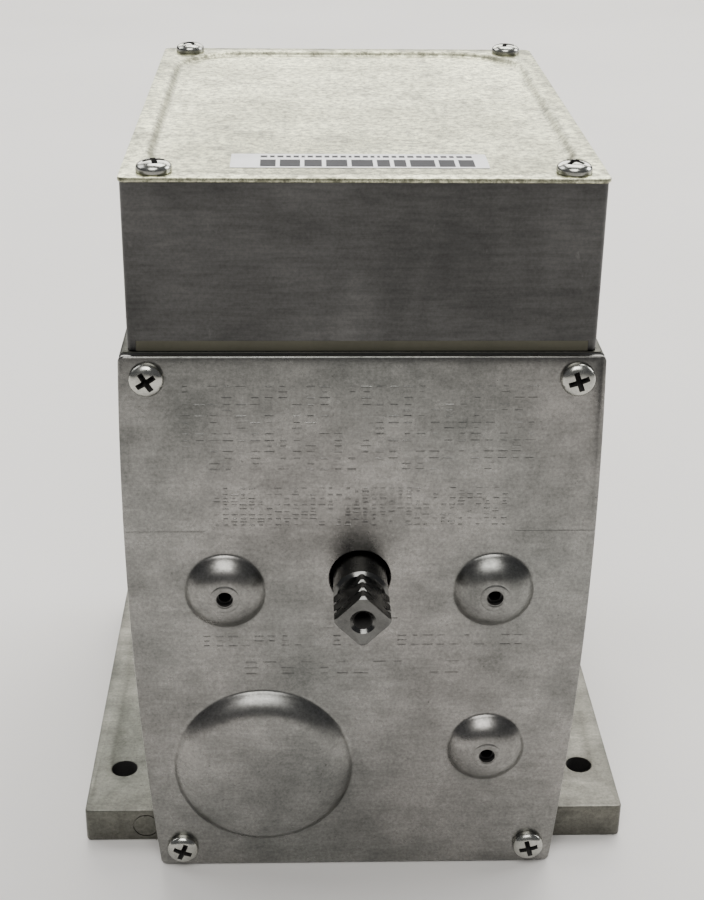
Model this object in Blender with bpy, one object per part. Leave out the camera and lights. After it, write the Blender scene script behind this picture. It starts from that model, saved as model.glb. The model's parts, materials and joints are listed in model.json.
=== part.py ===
"""Electric actuator motor for valves and dampers, one object for each separate piece.

Lengths below are millimetres, and every mesh is written in metres. +Z is up, the auxiliary end of the
shaft points along -Y, the power end along +Y, and the origin is in the middle of the mounting face.
"""

import math

import bmesh
import bpy
from mathutils import Matrix, Vector

MM = 0.001
GAP = 0.3  # left between two pieces that touch
WELD = 0.001
FINE, MEDIUM, COARSE = 28, 16, 12  # sides of a round piece, by size

# Casting: a barrel open at both ends on a mounting flange
FLANGE_WIDTH, FLANGE_DEPTH, FLANGE_THICK = 139.7, 119.0, 9.4
FOOT_PITCH_X, FOOT_PITCH_Y, FOOT_HOLE_DIA = 122.6, 82.55, 6.6
BARREL_BOTTOM, BARREL_TOP, BARREL_DEPTH = 0.25, 139.75, 133.0
WAIST, WAIST_HEIGHT, CROWN = 54.6, 100.0, 1960.0  # half width, its height, and how fast the sides fall in
WALL, FLOOR, ROOF = 4.5, 8.0, 5.2
CORNER_BOSS = 12.0

# End plates, gaskets and their screws
OVER_PLATES = 139.0
PLATE_THICK, GASKET_THICK = 1.2, 1.2
TOP_SCREWS, BOTTOM_SCREWS = (47.7, 134.5), (43.9, 5.8)
SCREW_HEAD_DIA, SCREW_HEAD_HIGH, SCREW_DIA = 7.9, 2.6, 3.3
DOME_DIA, DOME_HIGH, DOME_FLAT_DIA, DOME_HOLE_DIA = 19.0, 4.0, 7.6, 3.9
MOTOR_DOME_DIA, MOTOR_DOME_FLAT_DIA = 44.0, 32.0

# Output shaft, with a truncated 3/8 inch square at both ends
SHAFT_Z, SHAFT_DIA, SHAFT_OUT, SHAFT_ROUND_OUT = 84.0, 12.7, 20.0, 9.0
SQUARE, TAPPED_DIA, TAPPED_DEEP = 9.525, 4.9, 14.0
LANDS, LAND_TAPER, GROOVE_DEEP, GROOVE_WIDE = 3, 0.45, 0.9, 0.7
SHAFT_HOLE_DIA, RUNNING = 14.1, 0.08

# Gear train between two frame plates
PRESSURE_ANGLE, BACKLASH = math.radians(25.0), 0.08
WHEEL_TEETH, PINION_TEETH, SENSOR_TEETH = 48, 12, 24
FINE_MODULE, OUTPUT_MODULE = 0.8, 1.0
AXLE_DIA, HUB_DIA, PILLAR_DIA = 3.0, 6.0, 6.0
FRONT_FRAME_Y, REAR_FRAME_Y, FRAME_THICK, FRAME_INSET = -20.0, 22.0, 2.0, 1.5
PILLARS = ((-31.56, 80.55), (31.56, 80.55), (31.7, 35.8))
PILLAR_THREAD_DIA, PILLAR_THREAD_DEEP, PILLAR_SCREW_HOLE_DIA = 3.0, 12.0, 3.3
MOTOR = (-23.2, 30.6)
WHEEL_LAYERS = ((-14.0, -10.0), (-7.0, -3.0), (0.0, 4.0))  # each wheel's two faces along Y
PINION_ENDS = (-1.0, 6.0, 14.0)
OUTPUT_LAYER, SENSOR_LAYER, MOTOR_PINION = (6.0, 13.0), (8.0, 11.0), (-16.5, -8.5)
SENSOR_SHAFT, SENSOR_BODY = (6.0, 36.0), (24.3, 38.0)
SENSOR_BODY_DIA, SENSOR_NOSE_DIA, SENSOR_NOSE_LONG = 24.0, 18.0, 1.7
SHAFT_PASSAGE_DIA = 17.7  # the hole in the frame plates

# Shaft bushings: one in the front frame plate, and a flanged one in the power end plate
FRONT_BUSHING_DIA, FRONT_BUSHING_LONG = 17.0, 10.0
REAR_BUSHING_DIA, REAR_BUSHING_DEEP, REAR_BUSHING_HOLE_DIA = 18.8, 9.0, 19.6
REAR_COLLAR_DIA, REAR_COLLAR_HIGH, REAR_COLLAR_CHAMFER = 23.0, 2.8, (0.9, 0.6)

# Drive motor
STATOR_DIA, BORE_DIA, ROTOR_DIA = 42.0, 23.2, 22.0
STATOR_Y, STATOR_LONG, ROTOR_LONG = -54.0, 26.0, 30.0
SLOTS, SLOT_WIDE, SLOT_REACH = 4, 8.0, 17.5
END_TURNS_LONG, FRONT_BELL_LONG, BELL_WALL = 4.5, 8.0, 1.5
ROTOR_SHAFT_DIA, ROTOR_SHAFT_FRONT = 4.0, -64.5

# Limit switches over their cams
CAM_DIA, LOBE_DIA, LOBE_ARC, CAM_THICK = 24.0, 29.0, 40.0, 4.0
CAMS = ((-46.0, 141.0), (-38.0, 19.0))  # middle along Y, and where the lobe starts, clockwise from the top
SWITCH_LOW, SWITCH_HIGH, SWITCH_WIDE, SWITCH_THICK = 100.0, 112.0, 20.0, 6.0
BUTTON_DIA, BUTTON_CLEAR, BUTTON_SUNK, BUTTON_POCKET = 3.0, 0.4, 4.5, 6.0
BRACKET_WIDE, BRACKET_LONG, BRACKET_THICK = 30.0, 31.0, 2.0

# Wiring box and cover
BOX_HALF_X, BOX_HALF_Y, BOX_TOP, SHEET = 52.0, 66.5, 178.1, 1.2
BOX_FLOOR, NOTCH_HALF = 142.3, 50.0
TAB_INNER = (40.5, 59.5)  # the inner corner of the tabs that the cover's screws hold
COVER_HALF_X, COVER_HALF_Y, COVER_TOP, COVER_SHEET = 52.15, 68.2, 179.4, 1.0
PANEL_HALF_X, PANEL_HALF_Y, PANEL_RADIUS, PANEL_DEEP, PANEL_SLOPE = 46.0, 62.7, 19.0, 1.2, 2.0
COVER_SCREW_X, COVER_SCREW_Y = 44.7, 63.1
CONDUIT_DIA, CONDUIT_Z = 22.2, 160.0
LEAD_HOLE, LEAD_HOLE_DIA = (30.0, 42.0), 12.0
LABEL_LOW, LABEL_HIGH, LABEL_THICK = (-29.0, -56.0), (27.6, -44.5), 0.2
PLUG_RIM_DIA, PLUG_RIM_THICK, PLUG_WALL, PLUG_DEEP = 25.6, 1.2, 1.2, 2.0

# Inside the wiring box: a transformer, a terminal block and an earthing screw
TRANSFORMER, CORE_SIZE = (-20.0, 30.0), (44.0, 16.0, 30.0)
CORE_LEG, WINDOW_WIDE, WINDOW_HIGH, COIL_REACH = 5.0, 9.0, 20.0, 16.0
TERMINALS_Y, TERMINALS_SIZE = -45.0, (44.0, 16.0, 12.0)
TERMINAL_PLACES = (-16.5, -5.5, 5.5, 16.5)
TERMINAL_POCKET_WIDE, TERMINAL_POCKET_DEEP, TERMINAL_HEAD_DIA = 9.2, 5.0, 6.4
GROUND_SCREW, GROUND_HEAD_DIA = (38.0, -30.0), 7.0


# ---- Scene, finishes and objects ----


def clear_scene():
    for obj in list(bpy.data.objects):
        bpy.data.objects.remove(obj, do_unlink=True)


def finish(name, colour, roughness, metallic):
    material = bpy.data.materials.new(name)
    material.use_nodes = True
    shader = material.node_tree.nodes["Principled BSDF"]
    shader.inputs["Base Color"].default_value = (*colour, 1.0)
    shader.inputs["Roughness"].default_value = roughness
    shader.inputs["Metallic"].default_value = metallic
    material.diffuse_color = (*colour, 1.0)
    return material


def add_object(name, shape, material, origin=(0.0, 0.0, 0.0), parent=None):
    """Writes a closed bmesh, in millimetres, as an object in metres with its origin at `origin`."""
    at = Vector(origin)
    base = parent.matrix_world.translation / MM if parent else Vector()
    bmesh.ops.remove_doubles(shape, verts=shape.verts, dist=WELD)
    bmesh.ops.recalc_face_normals(shape, faces=shape.faces)
    bmesh.ops.translate(shape, verts=shape.verts, vec=-at)
    bmesh.ops.scale(shape, verts=shape.verts, vec=(MM, MM, MM))
    mesh = bpy.data.meshes.new(name)
    shape.to_mesh(mesh)
    shape.free()
    mesh.shade_smooth()
    mesh.set_sharp_from_angle(angle=math.radians(30.0))
    if material:
        mesh.materials.append(material)
    obj = bpy.data.objects.new(name, mesh)
    obj.parent = parent
    obj.location = (at - base) * MM
    bpy.context.scene.collection.objects.link(obj)
    return obj


def pivot(name, origin):
    """An empty on a joint's axis, which the moving pieces are parented to."""
    empty = bpy.data.objects.new(name, None)
    empty.location = Vector(origin) * MM
    bpy.context.scene.collection.objects.link(empty)
    bpy.context.view_layer.update()
    return empty


def combine(obj, shape, operation):
    """Adds a Boolean with a hidden tool made from `shape`, which is in the scene's millimetres."""
    tool = add_object(f"{obj.name}_tool", shape, None)
    tool.hide_render = True
    tool.display_type = "WIRE"
    modifier = obj.modifiers.new(operation.title(), "BOOLEAN")
    modifier.operation = operation
    modifier.solver = "EXACT"
    modifier.object = tool


def cut(obj, *shapes):
    for shape in shapes:
        combine(obj, shape, "DIFFERENCE")


def join(obj, *shapes):
    for shape in shapes:
        combine(obj, shape, "UNION")


# ---- Outlines ----


def circle(centre, diameter, sides):
    cx, cy = centre
    turns = [2 * math.pi * (i + 0.5) / sides for i in range(sides)]
    return [(cx + diameter / 2 * math.cos(t), cy + diameter / 2 * math.sin(t)) for t in turns]


def rectangle(low, high):
    return [low, (high[0], low[1]), high, (low[0], high[1])]


def rounded_rectangle(half_x, half_y, radius, steps=5):
    points = []
    for quarter, (sx, sy) in enumerate(((1, 1), (-1, 1), (-1, -1), (1, -1))):
        for i in range(steps + 1):
            turn = math.pi / 2 * (quarter + i / steps)
            x = sx * (half_x - radius) + radius * math.cos(turn)
            y = sy * (half_y - radius) + radius * math.sin(turn)
            points.append((x, y))
    return points


def half_width(z):
    """The barrel's bowed sides: widest a little below the top and drawn in towards the flange."""
    return WAIST - (z - WAIST_HEIGHT) ** 2 / CROWN


def barrel_outline(inset=0.0, steps=8):
    low, high = BARREL_BOTTOM + inset, BARREL_TOP - inset
    levels = [low + (high - low) * i / steps for i in range(steps + 1)]
    right = [(half_width(z) - inset, z) for z in levels]
    return right + [(-x, z) for x, z in reversed(right)]


def cavity_outline(inset=0.0, steps=4):
    """The barrel's inside, with its corners cut off to leave metal round the plate screws."""
    low, high = FLOOR + inset, BARREL_TOP - ROOF - inset
    side_low, side_high = low + CORNER_BOSS, high - CORNER_BOSS
    levels = [side_low + (side_high - side_low) * i / steps for i in range(steps + 1)]
    right = [(half_width(z) - WALL - inset, z) for z in levels]
    right.insert(0, (half_width(low) - WALL - inset - CORNER_BOSS, low))
    right.append((half_width(high) - WALL - inset - CORNER_BOSS, high))
    return right + [(-x, z) for x, z in reversed(right)]


def involute(angle):
    return math.tan(angle) - angle


def gear_outline(centre, teeth, module, phase):
    """Involute teeth, one of them centred on `phase`. Straight flank steps stay inside the curve."""
    pitch = teeth * module / 2
    base, tip, root = pitch * math.cos(PRESSURE_ANGLE), pitch + module, pitch - 1.25 * module
    half_tooth = math.pi / 2 / teeth - BACKLASH / 2 / pitch
    radii = [root, tip] if root > 0.98 * base else [root, base, (base + tip) / 2, tip]
    flank = []
    for radius in radii:
        slope = math.acos(min(1.0, base / radius))
        flank.append((radius, half_tooth + involute(PRESSURE_ANGLE) - involute(slope)))
    tooth = [(radius, -half) for radius, half in flank]
    tooth += [(radius, half) for radius, half in reversed(flank)]
    points = []
    for i in range(teeth):
        middle = phase + 2 * math.pi * i / teeth
        for radius, half in tooth:
            turn = middle + half
            points.append((centre[0] + radius * math.cos(turn), centre[1] + radius * math.sin(turn)))
    return points


def cam_outline(lobe_start):
    """A disc with one raised lobe. Angles run clockwise from the top, as the shaft turns."""
    points = []
    for i in range(36):
        turn = lobe_start + 10.0 * i
        radius = (LOBE_DIA if 10.0 * i <= LOBE_ARC else CAM_DIA) / 2
        angle = math.radians(90.0 - turn)
        points.append((radius * math.cos(angle), SHAFT_Z + radius * math.sin(angle)))
    return points


# ---- Solids ----

TO_AXIS = {
    "X": Matrix(((0, 0, 1, 0), (1, 0, 0, 0), (0, 1, 0, 0), (0, 0, 0, 1))),
    "Y": Matrix(((1, 0, 0, 0), (0, 0, -1, 0), (0, 1, 0, 0), (0, 0, 0, 1))),
    "Z": Matrix.Identity(4),
}


def prism(outline, low, high, axis="Y", holes=()):
    """The outline, less its holes, filled and extruded from `low` to `high` along an axis."""
    curve = bpy.data.curves.new("outline", "CURVE")
    curve.dimensions = "2D"
    curve.fill_mode = "BOTH"
    curve.extrude = (high - low) / 2
    for loop in (outline, *holes):
        spline = curve.splines.new("POLY")
        spline.points.add(len(loop) - 1)
        spline.use_cyclic_u = True
        for point, (x, y) in zip(spline.points, loop):
            point.co = (x, y, 0.0, 1.0)
    drawing = bpy.data.objects.new("outline", curve)
    bpy.context.scene.collection.objects.link(drawing)
    graph = bpy.context.evaluated_depsgraph_get()
    filled = bpy.data.meshes.new_from_object(drawing.evaluated_get(graph))
    shape = bmesh.new()
    shape.from_mesh(filled)
    bpy.data.objects.remove(drawing, do_unlink=True)
    bpy.data.curves.remove(curve)
    bpy.data.meshes.remove(filled)
    bmesh.ops.remove_doubles(shape, verts=shape.verts, dist=WELD)
    bmesh.ops.transform(shape, matrix=TO_AXIS[axis], verts=shape.verts)
    shift = Vector(((low + high) / 2 if axis == name else 0.0) for name in "XYZ")
    bmesh.ops.translate(shape, verts=shape.verts, vec=shift)
    return shape


def block(low, high):
    return prism(rectangle(low[:2], high[:2]), low[2], high[2], "Z")


def rod(centre, diameter, low, high, axis="Y", sides=COARSE):
    return prism(circle(centre, diameter, sides), low, high, axis)


def turned(profile, centre, axis="Y", sides=MEDIUM, closed=False):
    """Turns (radius, height) points about an axis through `centre`. `closed` joins the profile's ends."""
    shape = bmesh.new()
    corners = [shape.verts.new((radius, 0.0, height)) for radius, height in profile]
    edges = [shape.edges.new(pair) for pair in zip(corners, corners[1:])]
    if closed:
        edges.append(shape.edges.new((corners[-1], corners[0])))
    bmesh.ops.spin(
        shape,
        geom=corners + edges,
        cent=(0, 0, 0),
        axis=(0, 0, 1),
        angle=2 * math.pi,
        steps=sides,
        use_merge=True,
    )
    bmesh.ops.remove_doubles(shape, verts=shape.verts, dist=WELD)
    stand = {"X": Matrix.Rotation(math.pi / 2, 4, "Y"), "Y": Matrix.Rotation(-math.pi / 2, 4, "X")}
    bmesh.ops.transform(shape, matrix=stand.get(axis, Matrix.Identity(4)), verts=shape.verts)
    bmesh.ops.translate(shape, verts=shape.verts, vec=centre)
    return shape


def merged(*shapes):
    """Several solids that stay apart, in one tool."""
    whole = bmesh.new()
    for shape in shapes:
        part = bpy.data.meshes.new("part")
        bmesh.ops.recalc_face_normals(shape, faces=shape.faces)
        shape.to_mesh(part)
        shape.free()
        whole.from_mesh(part)
        bpy.data.meshes.remove(part)
    return whole


def skinned(loops):
    """A closed solid over loops of equal length, with the first and the last filled in."""
    shape = bmesh.new()
    rings = [[shape.verts.new(point) for point in loop] for loop in loops]
    for ring, following in zip(rings, rings[1:]):
        for i, corner in enumerate(ring):
            j = (i + 1) % len(ring)
            shape.faces.new((corner, ring[j], following[j], following[i]))
    shape.faces.new(rings[0])
    shape.faces.new(rings[-1])
    return shape


# ---- Screws ----


def screw(name, head_at, direction, length, material, head_dia=SCREW_HEAD_DIA):
    """A pan head screw. `head_at` is under the head, and `direction` points out of the head."""
    thread, head, high = SCREW_DIA / 2, head_dia / 2, SCREW_HEAD_HIGH * head_dia / SCREW_HEAD_DIA
    profile = [(0.0, -length), (thread, -length + 0.5), (thread, 0.0), (head, 0.0)]
    profile += [(head, 0.35 * high), (0.72 * head, 0.86 * high), (0.0, high)]
    shape = turned(profile, (0, 0, 0), "Z", COARSE)
    wide, long = 0.16 * head, 0.62 * head
    slots = [
        block((-a, -b, 0.45 * high), (a, b, 2 * high)) for a, b in ((wide, long), (long, wide))
    ]
    turn = Vector((0, 0, 1)).rotation_difference(Vector(direction)).to_matrix().to_4x4()
    placed = Matrix.Translation(Vector(head_at)) @ turn
    for part in (shape, *slots):
        bmesh.ops.transform(part, matrix=placed, verts=part.verts)
    obj = add_object(name, shape, material, head_at)
    cut(obj, *slots)
    return obj


# ---- Casting and end plates ----


def plate_screw_places():
    tops = [(side * TOP_SCREWS[0], TOP_SCREWS[1]) for side in (-1, 1)]
    return tops + [(side * BOTTOM_SCREWS[0], BOTTOM_SCREWS[1]) for side in (-1, 1)]


def build_housing(material):
    half_depth = BARREL_DEPTH / 2
    housing = add_object("motor_housing", prism(barrel_outline(), -half_depth, half_depth), material)
    flange = rounded_rectangle(FLANGE_WIDTH / 2, FLANGE_DEPTH / 2, 2.0, 2)
    feet = [
        rod((sx * FOOT_PITCH_X / 2, sy * FOOT_PITCH_Y / 2), FOOT_HOLE_DIA, -5, FLANGE_THICK + 5, "Z", 16)
        for sx in (-1, 1)
        for sy in (-1, 1)
    ]
    threads = [
        rod(place, SCREW_DIA + GAP, end * half_depth - 10, end * half_depth + 10)
        for place in plate_screw_places()
        for end in (-1, 1)
    ]
    lead_hole = rod(LEAD_HOLE, LEAD_HOLE_DIA, BARREL_TOP - 10, BARREL_TOP + 5, "Z")
    join(housing, prism(flange, 0.0, FLANGE_THICK, "Z"))
    cut(housing, prism(cavity_outline(), -half_depth - 5, half_depth + 5))
    cut(housing, merged(*feet, *threads, lead_hole))


def dome(centre, base_dia, flat_dia, face, out, thick, sides):
    """The raised outside of a pressed dome and the hollow behind it, standing out along `out` (-1 or 1)."""
    base, flat = base_dia / 2, flat_dia / 2
    shoulder = (0.62 * base + 0.38 * flat, 0.72 * DOME_HIGH)
    place = (centre[0], face, centre[1])
    skin = [(0, -0.5), (base, -0.5), (base, 0), shoulder, (flat, DOME_HIGH), (0, DOME_HIGH)]
    behind = [(0, -3), (base - thick, -3), (base - thick, -0.2 * thick)]
    behind += [(shoulder[0] - 0.7 * thick, shoulder[1] - thick), (flat, DOME_HIGH - thick)]
    behind += [(0, DOME_HIGH - thick)]
    return [
        turned([(radius, out * height) for radius, height in profile], place, "Y", sides)
        for profile in (skin, behind)
    ]


def build_end_plate(name, end, domes, shaft_hole, material):
    """`end` is -1 at the auxiliary end and 1 at the power end. Domes are (centre, base, flat, sides)."""
    face = end * OVER_PLATES / 2
    low, high = sorted((face, face - end * PLATE_THICK))
    holes = [circle(place, SCREW_DIA + 0.6, COARSE) for place in plate_screw_places()]
    holes.append(circle((0.0, SHAFT_Z), shaft_hole, FINE))
    plate = add_object(name, prism(barrel_outline(), low, high, "Y", holes), material)
    made = [dome(*shape[:3], face, end, PLATE_THICK, shape[3]) for shape in domes]
    join(plate, merged(*(skin for skin, _ in made)))
    cut(plate, merged(*(hollow for _, hollow in made)))
    middles = [rod(shape[0], DOME_HOLE_DIA, face - 15, face + 15) for shape in domes if shape[1] < 30]
    cut(plate, merged(*middles))


def build_gasket(name, end, material):
    inner = end * (BARREL_DEPTH / 2 + GAP)
    outer = inner + end * GASKET_THICK
    holes = [circle(place, SCREW_DIA + 0.6, COARSE) for place in plate_screw_places()]
    holes.append(cavity_outline())
    low, high = sorted((inner, outer))
    add_object(name, prism(barrel_outline(GAP), low, high, "Y", holes), material)


def build_ends(zinc, fibre, bright):
    domes = [(place, DOME_DIA, DOME_FLAT_DIA, MEDIUM) for place in PILLARS]
    domes.append((MOTOR, MOTOR_DOME_DIA, MOTOR_DOME_FLAT_DIA, FINE))
    build_end_plate("aux_end_plate", -1, domes, SHAFT_HOLE_DIA, zinc)
    back_domes = [(place, DOME_DIA, DOME_FLAT_DIA, MEDIUM) for place in PILLARS[:2]]
    build_end_plate("power_end_plate", 1, back_domes, REAR_BUSHING_HOLE_DIA, zinc)
    for end, word in ((-1, "aux"), (1, "power")):
        build_gasket(f"{word}_end_gasket", end, fibre)
        for i, (x, z) in enumerate(plate_screw_places()):
            head_at = (x, end * (OVER_PLATES / 2 + GAP), z)
            screw(f"{word}_plate_screw_{i + 1}", head_at, (0, end, 0), 9.0, bright)


# ---- Output shaft ----


def notched_end():
    """The lathe profile of the auxiliary end: three lands, each tapering outwards, between grooves."""
    start = OVER_PLATES / 2 + SHAFT_ROUND_OUT
    pitch = (SHAFT_OUT - SHAFT_ROUND_OUT) / LANDS
    radius = SHAFT_DIA / 2
    profile = []
    for i in range(LANDS):
        at = start + i * pitch
        profile.append((radius - GROOVE_DEEP, -at))
        profile.append((radius - GROOVE_DEEP, -at - GROOVE_WIDE))
        profile.append((radius, -at - GROOVE_WIDE - 0.1))
        profile.append((radius - LAND_TAPER, 0.05 - at - pitch))
    return profile


def build_output_shaft(axis, steel):
    """Two square lengths joined to a round bar. Each square stands on its corner."""
    start = OVER_PLATES / 2 + SHAFT_ROUND_OUT
    tip = OVER_PLATES / 2 + SHAFT_OUT
    radius = SHAFT_DIA / 2
    round_bar = [(0, -tip), *reversed(notched_end())]
    round_bar += [(radius - 0.5, -start - 0.01), (radius, 0.5 - start)]
    round_bar += [(radius, tip - 0.5), (radius - 0.5, tip), (0, tip)]
    shape = turned(round_bar, (0, 0, SHAFT_Z), "Y", 24)
    shaft = add_object("output_shaft", shape, steel, (0, 0, SHAFT_Z), axis)
    reach = SQUARE / 2
    for end in (-1, 1):
        low, high = sorted((end * (start + 0.05), end * (tip + 5)))
        square = [(0, reach * math.sqrt(2)), (-reach * math.sqrt(2), 0), (0, -reach * math.sqrt(2))]
        square.append((reach * math.sqrt(2), 0))
        square = [(x, z + SHAFT_Z) for x, z in square]
        collar = rectangle((-20, SHAFT_Z - 20), (20, SHAFT_Z + 20))
        cut(shaft, prism(collar, low, high, "Y", [square]))
        low, high = sorted((end * (tip - TAPPED_DEEP), end * (tip + 5)))
        cut(shaft, rod((0, SHAFT_Z), TAPPED_DIA, low, high, "Y", 16))


def build_cams(axis, nylon):
    for i, (middle, lobe_start) in enumerate(CAMS):
        bore = circle((0, SHAFT_Z), SHAFT_DIA + 2 * GAP, 24)
        low, high = middle - CAM_THICK / 2, middle + CAM_THICK / 2
        shape = prism(cam_outline(lobe_start), low, high, "Y", [bore])
        add_object(f"cam_{i + 1}", shape, nylon, (0, middle, SHAFT_Z), axis)


# ---- Gear train ----


def meet(start, start_reach, goal, goal_reach, side):
    """The point at given distances from two others, left (1) or right (-1) of the way between them."""
    way = Vector(goal) - Vector(start)
    span = way.length
    along = (start_reach**2 - goal_reach**2 + span**2) / (2 * span)
    across = math.sqrt(start_reach**2 - along**2)
    unit = way / span
    point = Vector(start) + along * unit + side * across * Vector((-unit.y, unit.x))
    return point.x, point.y


def meshing_phase(driver, driver_phase, driver_teeth, follower, follower_teeth):
    """Where the follower's tooth must stand for a space of it to face a tooth of the driver."""
    bearing = math.atan2(follower[1] - driver[1], follower[0] - driver[0])
    offset = (bearing - driver_phase) * driver_teeth / (2 * math.pi)
    return bearing + math.pi - (0.5 - offset) * 2 * math.pi / follower_teeth


FINE_CENTRES = FINE_MODULE * (WHEEL_TEETH + PINION_TEETH) / 2
OUTPUT_CENTRES = OUTPUT_MODULE * (WHEEL_TEETH + PINION_TEETH) / 2
SENSOR_CENTRES = OUTPUT_MODULE * (WHEEL_TEETH + SENSOR_TEETH) / 2
SHAFT = (0.0, SHAFT_Z)
AXLE_1 = (MOTOR[0] + FINE_CENTRES, MOTOR[1])
AXLE_2 = (AXLE_1[0] + FINE_CENTRES / 2, AXLE_1[1] + FINE_CENTRES * math.sqrt(3) / 2)
AXLE_3 = meet(AXLE_2, FINE_CENTRES, SHAFT, OUTPUT_CENTRES, 1)
SENSOR = (-SENSOR_CENTRES / math.sqrt(2), SHAFT_Z + SENSOR_CENTRES / math.sqrt(2))


def build_cluster(number, place, wheel_phase, pinion_phase, pinion_module, steel):
    """A wheel and a pinion on one hub, which turns on a fixed axle pin."""
    low, high = WHEEL_LAYERS[number - 1]
    origin = (place[0], (low + high) / 2, place[1])
    wheel = prism(gear_outline(place, WHEEL_TEETH, FINE_MODULE, wheel_phase), low, high)
    cluster = add_object(f"gear_cluster_{number}", wheel, steel, origin)
    teeth = gear_outline(place, PINION_TEETH, pinion_module, pinion_phase)
    hub_low, hub_high = FRONT_FRAME_Y + FRAME_THICK + 0.5, REAR_FRAME_Y - 0.5
    join(cluster, prism(teeth, high - 1, PINION_ENDS[number - 1]))
    join(cluster, rod(place, HUB_DIA, hub_low, hub_high, "Y", COARSE))
    bore = AXLE_DIA + 2 * RUNNING
    cut(cluster, rod(place, bore, FRONT_FRAME_Y - 5, REAR_FRAME_Y + 5, "Y", COARSE))


def bearing_angle(start, goal):
    return math.atan2(goal[1] - start[1], goal[0] - start[0])


def build_gears(shaft_axis, steel, brass):
    output_phase = bearing_angle(SHAFT, AXLE_3)
    teeth = gear_outline(SHAFT, WHEEL_TEETH, OUTPUT_MODULE, output_phase)
    bore = circle(SHAFT, SHAFT_DIA + 2 * GAP, 24)
    middle = sum(OUTPUT_LAYER) / 2
    gear = prism(teeth, *OUTPUT_LAYER, "Y", [bore])
    add_object("output_gear", gear, steel, (0, middle, SHAFT_Z), shaft_axis)
    wheel_phases = [bearing_angle(AXLE_1, MOTOR), bearing_angle(AXLE_2, AXLE_1)]
    wheel_phases.append(bearing_angle(AXLE_3, AXLE_2))
    places = (AXLE_1, AXLE_2, AXLE_3)
    drivers = ((AXLE_2, wheel_phases[1]), (AXLE_3, wheel_phases[2]), (SHAFT, output_phase))
    modules = (FINE_MODULE, FINE_MODULE, OUTPUT_MODULE)
    for i, place in enumerate(places):
        driver, phase = drivers[i]
        pinion_phase = meshing_phase(driver, phase, WHEEL_TEETH, place, PINION_TEETH)
        build_cluster(i + 1, place, wheel_phases[i], pinion_phase, modules[i], steel)
        low, high = FRONT_FRAME_Y, REAR_FRAME_Y + FRAME_THICK
        add_object(f"axle_{i + 1}", rod(place, AXLE_DIA, low, high), steel, (place[0], 0, place[1]))
    motor_phase = meshing_phase(AXLE_1, wheel_phases[0], WHEEL_TEETH, MOTOR, PINION_TEETH)
    sensor_phase = meshing_phase(SHAFT, output_phase, WHEEL_TEETH, SENSOR, SENSOR_TEETH)
    sensor_teeth = gear_outline(SENSOR, SENSOR_TEETH, OUTPUT_MODULE, sensor_phase)
    origin = (SENSOR[0], sum(SENSOR_LAYER) / 2, SENSOR[1])
    sensor_gear = add_object("potentiometer_gear", prism(sensor_teeth, *SENSOR_LAYER), brass, origin)
    join(sensor_gear, rod(SENSOR, AXLE_DIA, *SENSOR_SHAFT))
    return motor_phase


def build_frame(steel, bright, black):
    """Two frame plates on three pillars carry the gears, the motor, the switches and the sensor."""
    shaft_hole = circle(SHAFT, SHAFT_PASSAGE_DIA, 24)
    axles = [circle(place, AXLE_DIA + 0.1, COARSE) for place in (AXLE_1, AXLE_2, AXLE_3)]
    pillar_holes = [circle(place, PILLAR_DIA + 2 * GAP, 16) for place in PILLARS]
    motor_hole = circle(MOTOR, ROTOR_SHAFT_DIA + 2 * RUNNING, COARSE)
    front = prism(
        cavity_outline(FRAME_INSET),
        FRONT_FRAME_Y,
        FRONT_FRAME_Y + FRAME_THICK,
        "Y",
        [shaft_hole, motor_hole, *pillar_holes, *axles],
    )
    add_object("front_frame_plate", front, steel)
    sensor_hole = circle(SENSOR, AXLE_DIA + 2 * RUNNING, COARSE)
    screw_holes = [circle(place, PILLAR_SCREW_HOLE_DIA, COARSE) for place in PILLARS]
    rear = prism(
        cavity_outline(FRAME_INSET),
        REAR_FRAME_Y,
        REAR_FRAME_Y + FRAME_THICK,
        "Y",
        [shaft_hole, sensor_hole, *screw_holes, *axles],
    )
    add_object("rear_frame_plate", rear, steel)
    front_end = -OVER_PLATES / 2 - DOME_HIGH + PLATE_THICK + GAP
    for i, place in enumerate(PILLARS):
        origin = (place[0], 0, place[1])
        post = rod(place, PILLAR_DIA, front_end, REAR_FRAME_Y - GAP, "Y", 16)
        pillar = add_object(f"pillar_{i + 1}", post, bright, origin)
        cut(pillar, rod(place, PILLAR_THREAD_DIA, front_end - 5, front_end + PILLAR_THREAD_DEEP))
    build_potentiometer_body(black)


def build_potentiometer_body(black):
    low, high = SENSOR_BODY
    bore, body, nose = AXLE_DIA / 2 + RUNNING, SENSOR_BODY_DIA / 2, SENSOR_NOSE_DIA / 2
    profile = [(bore, low), (nose, low), (body, low + SENSOR_NOSE_LONG), (body, high), (bore, high)]
    shape = turned(profile, (SENSOR[0], 0, SENSOR[1]), "Y", 24, closed=True)
    add_object("potentiometer_body", shape, black, (SENSOR[0], low, SENSOR[1]))


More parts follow.
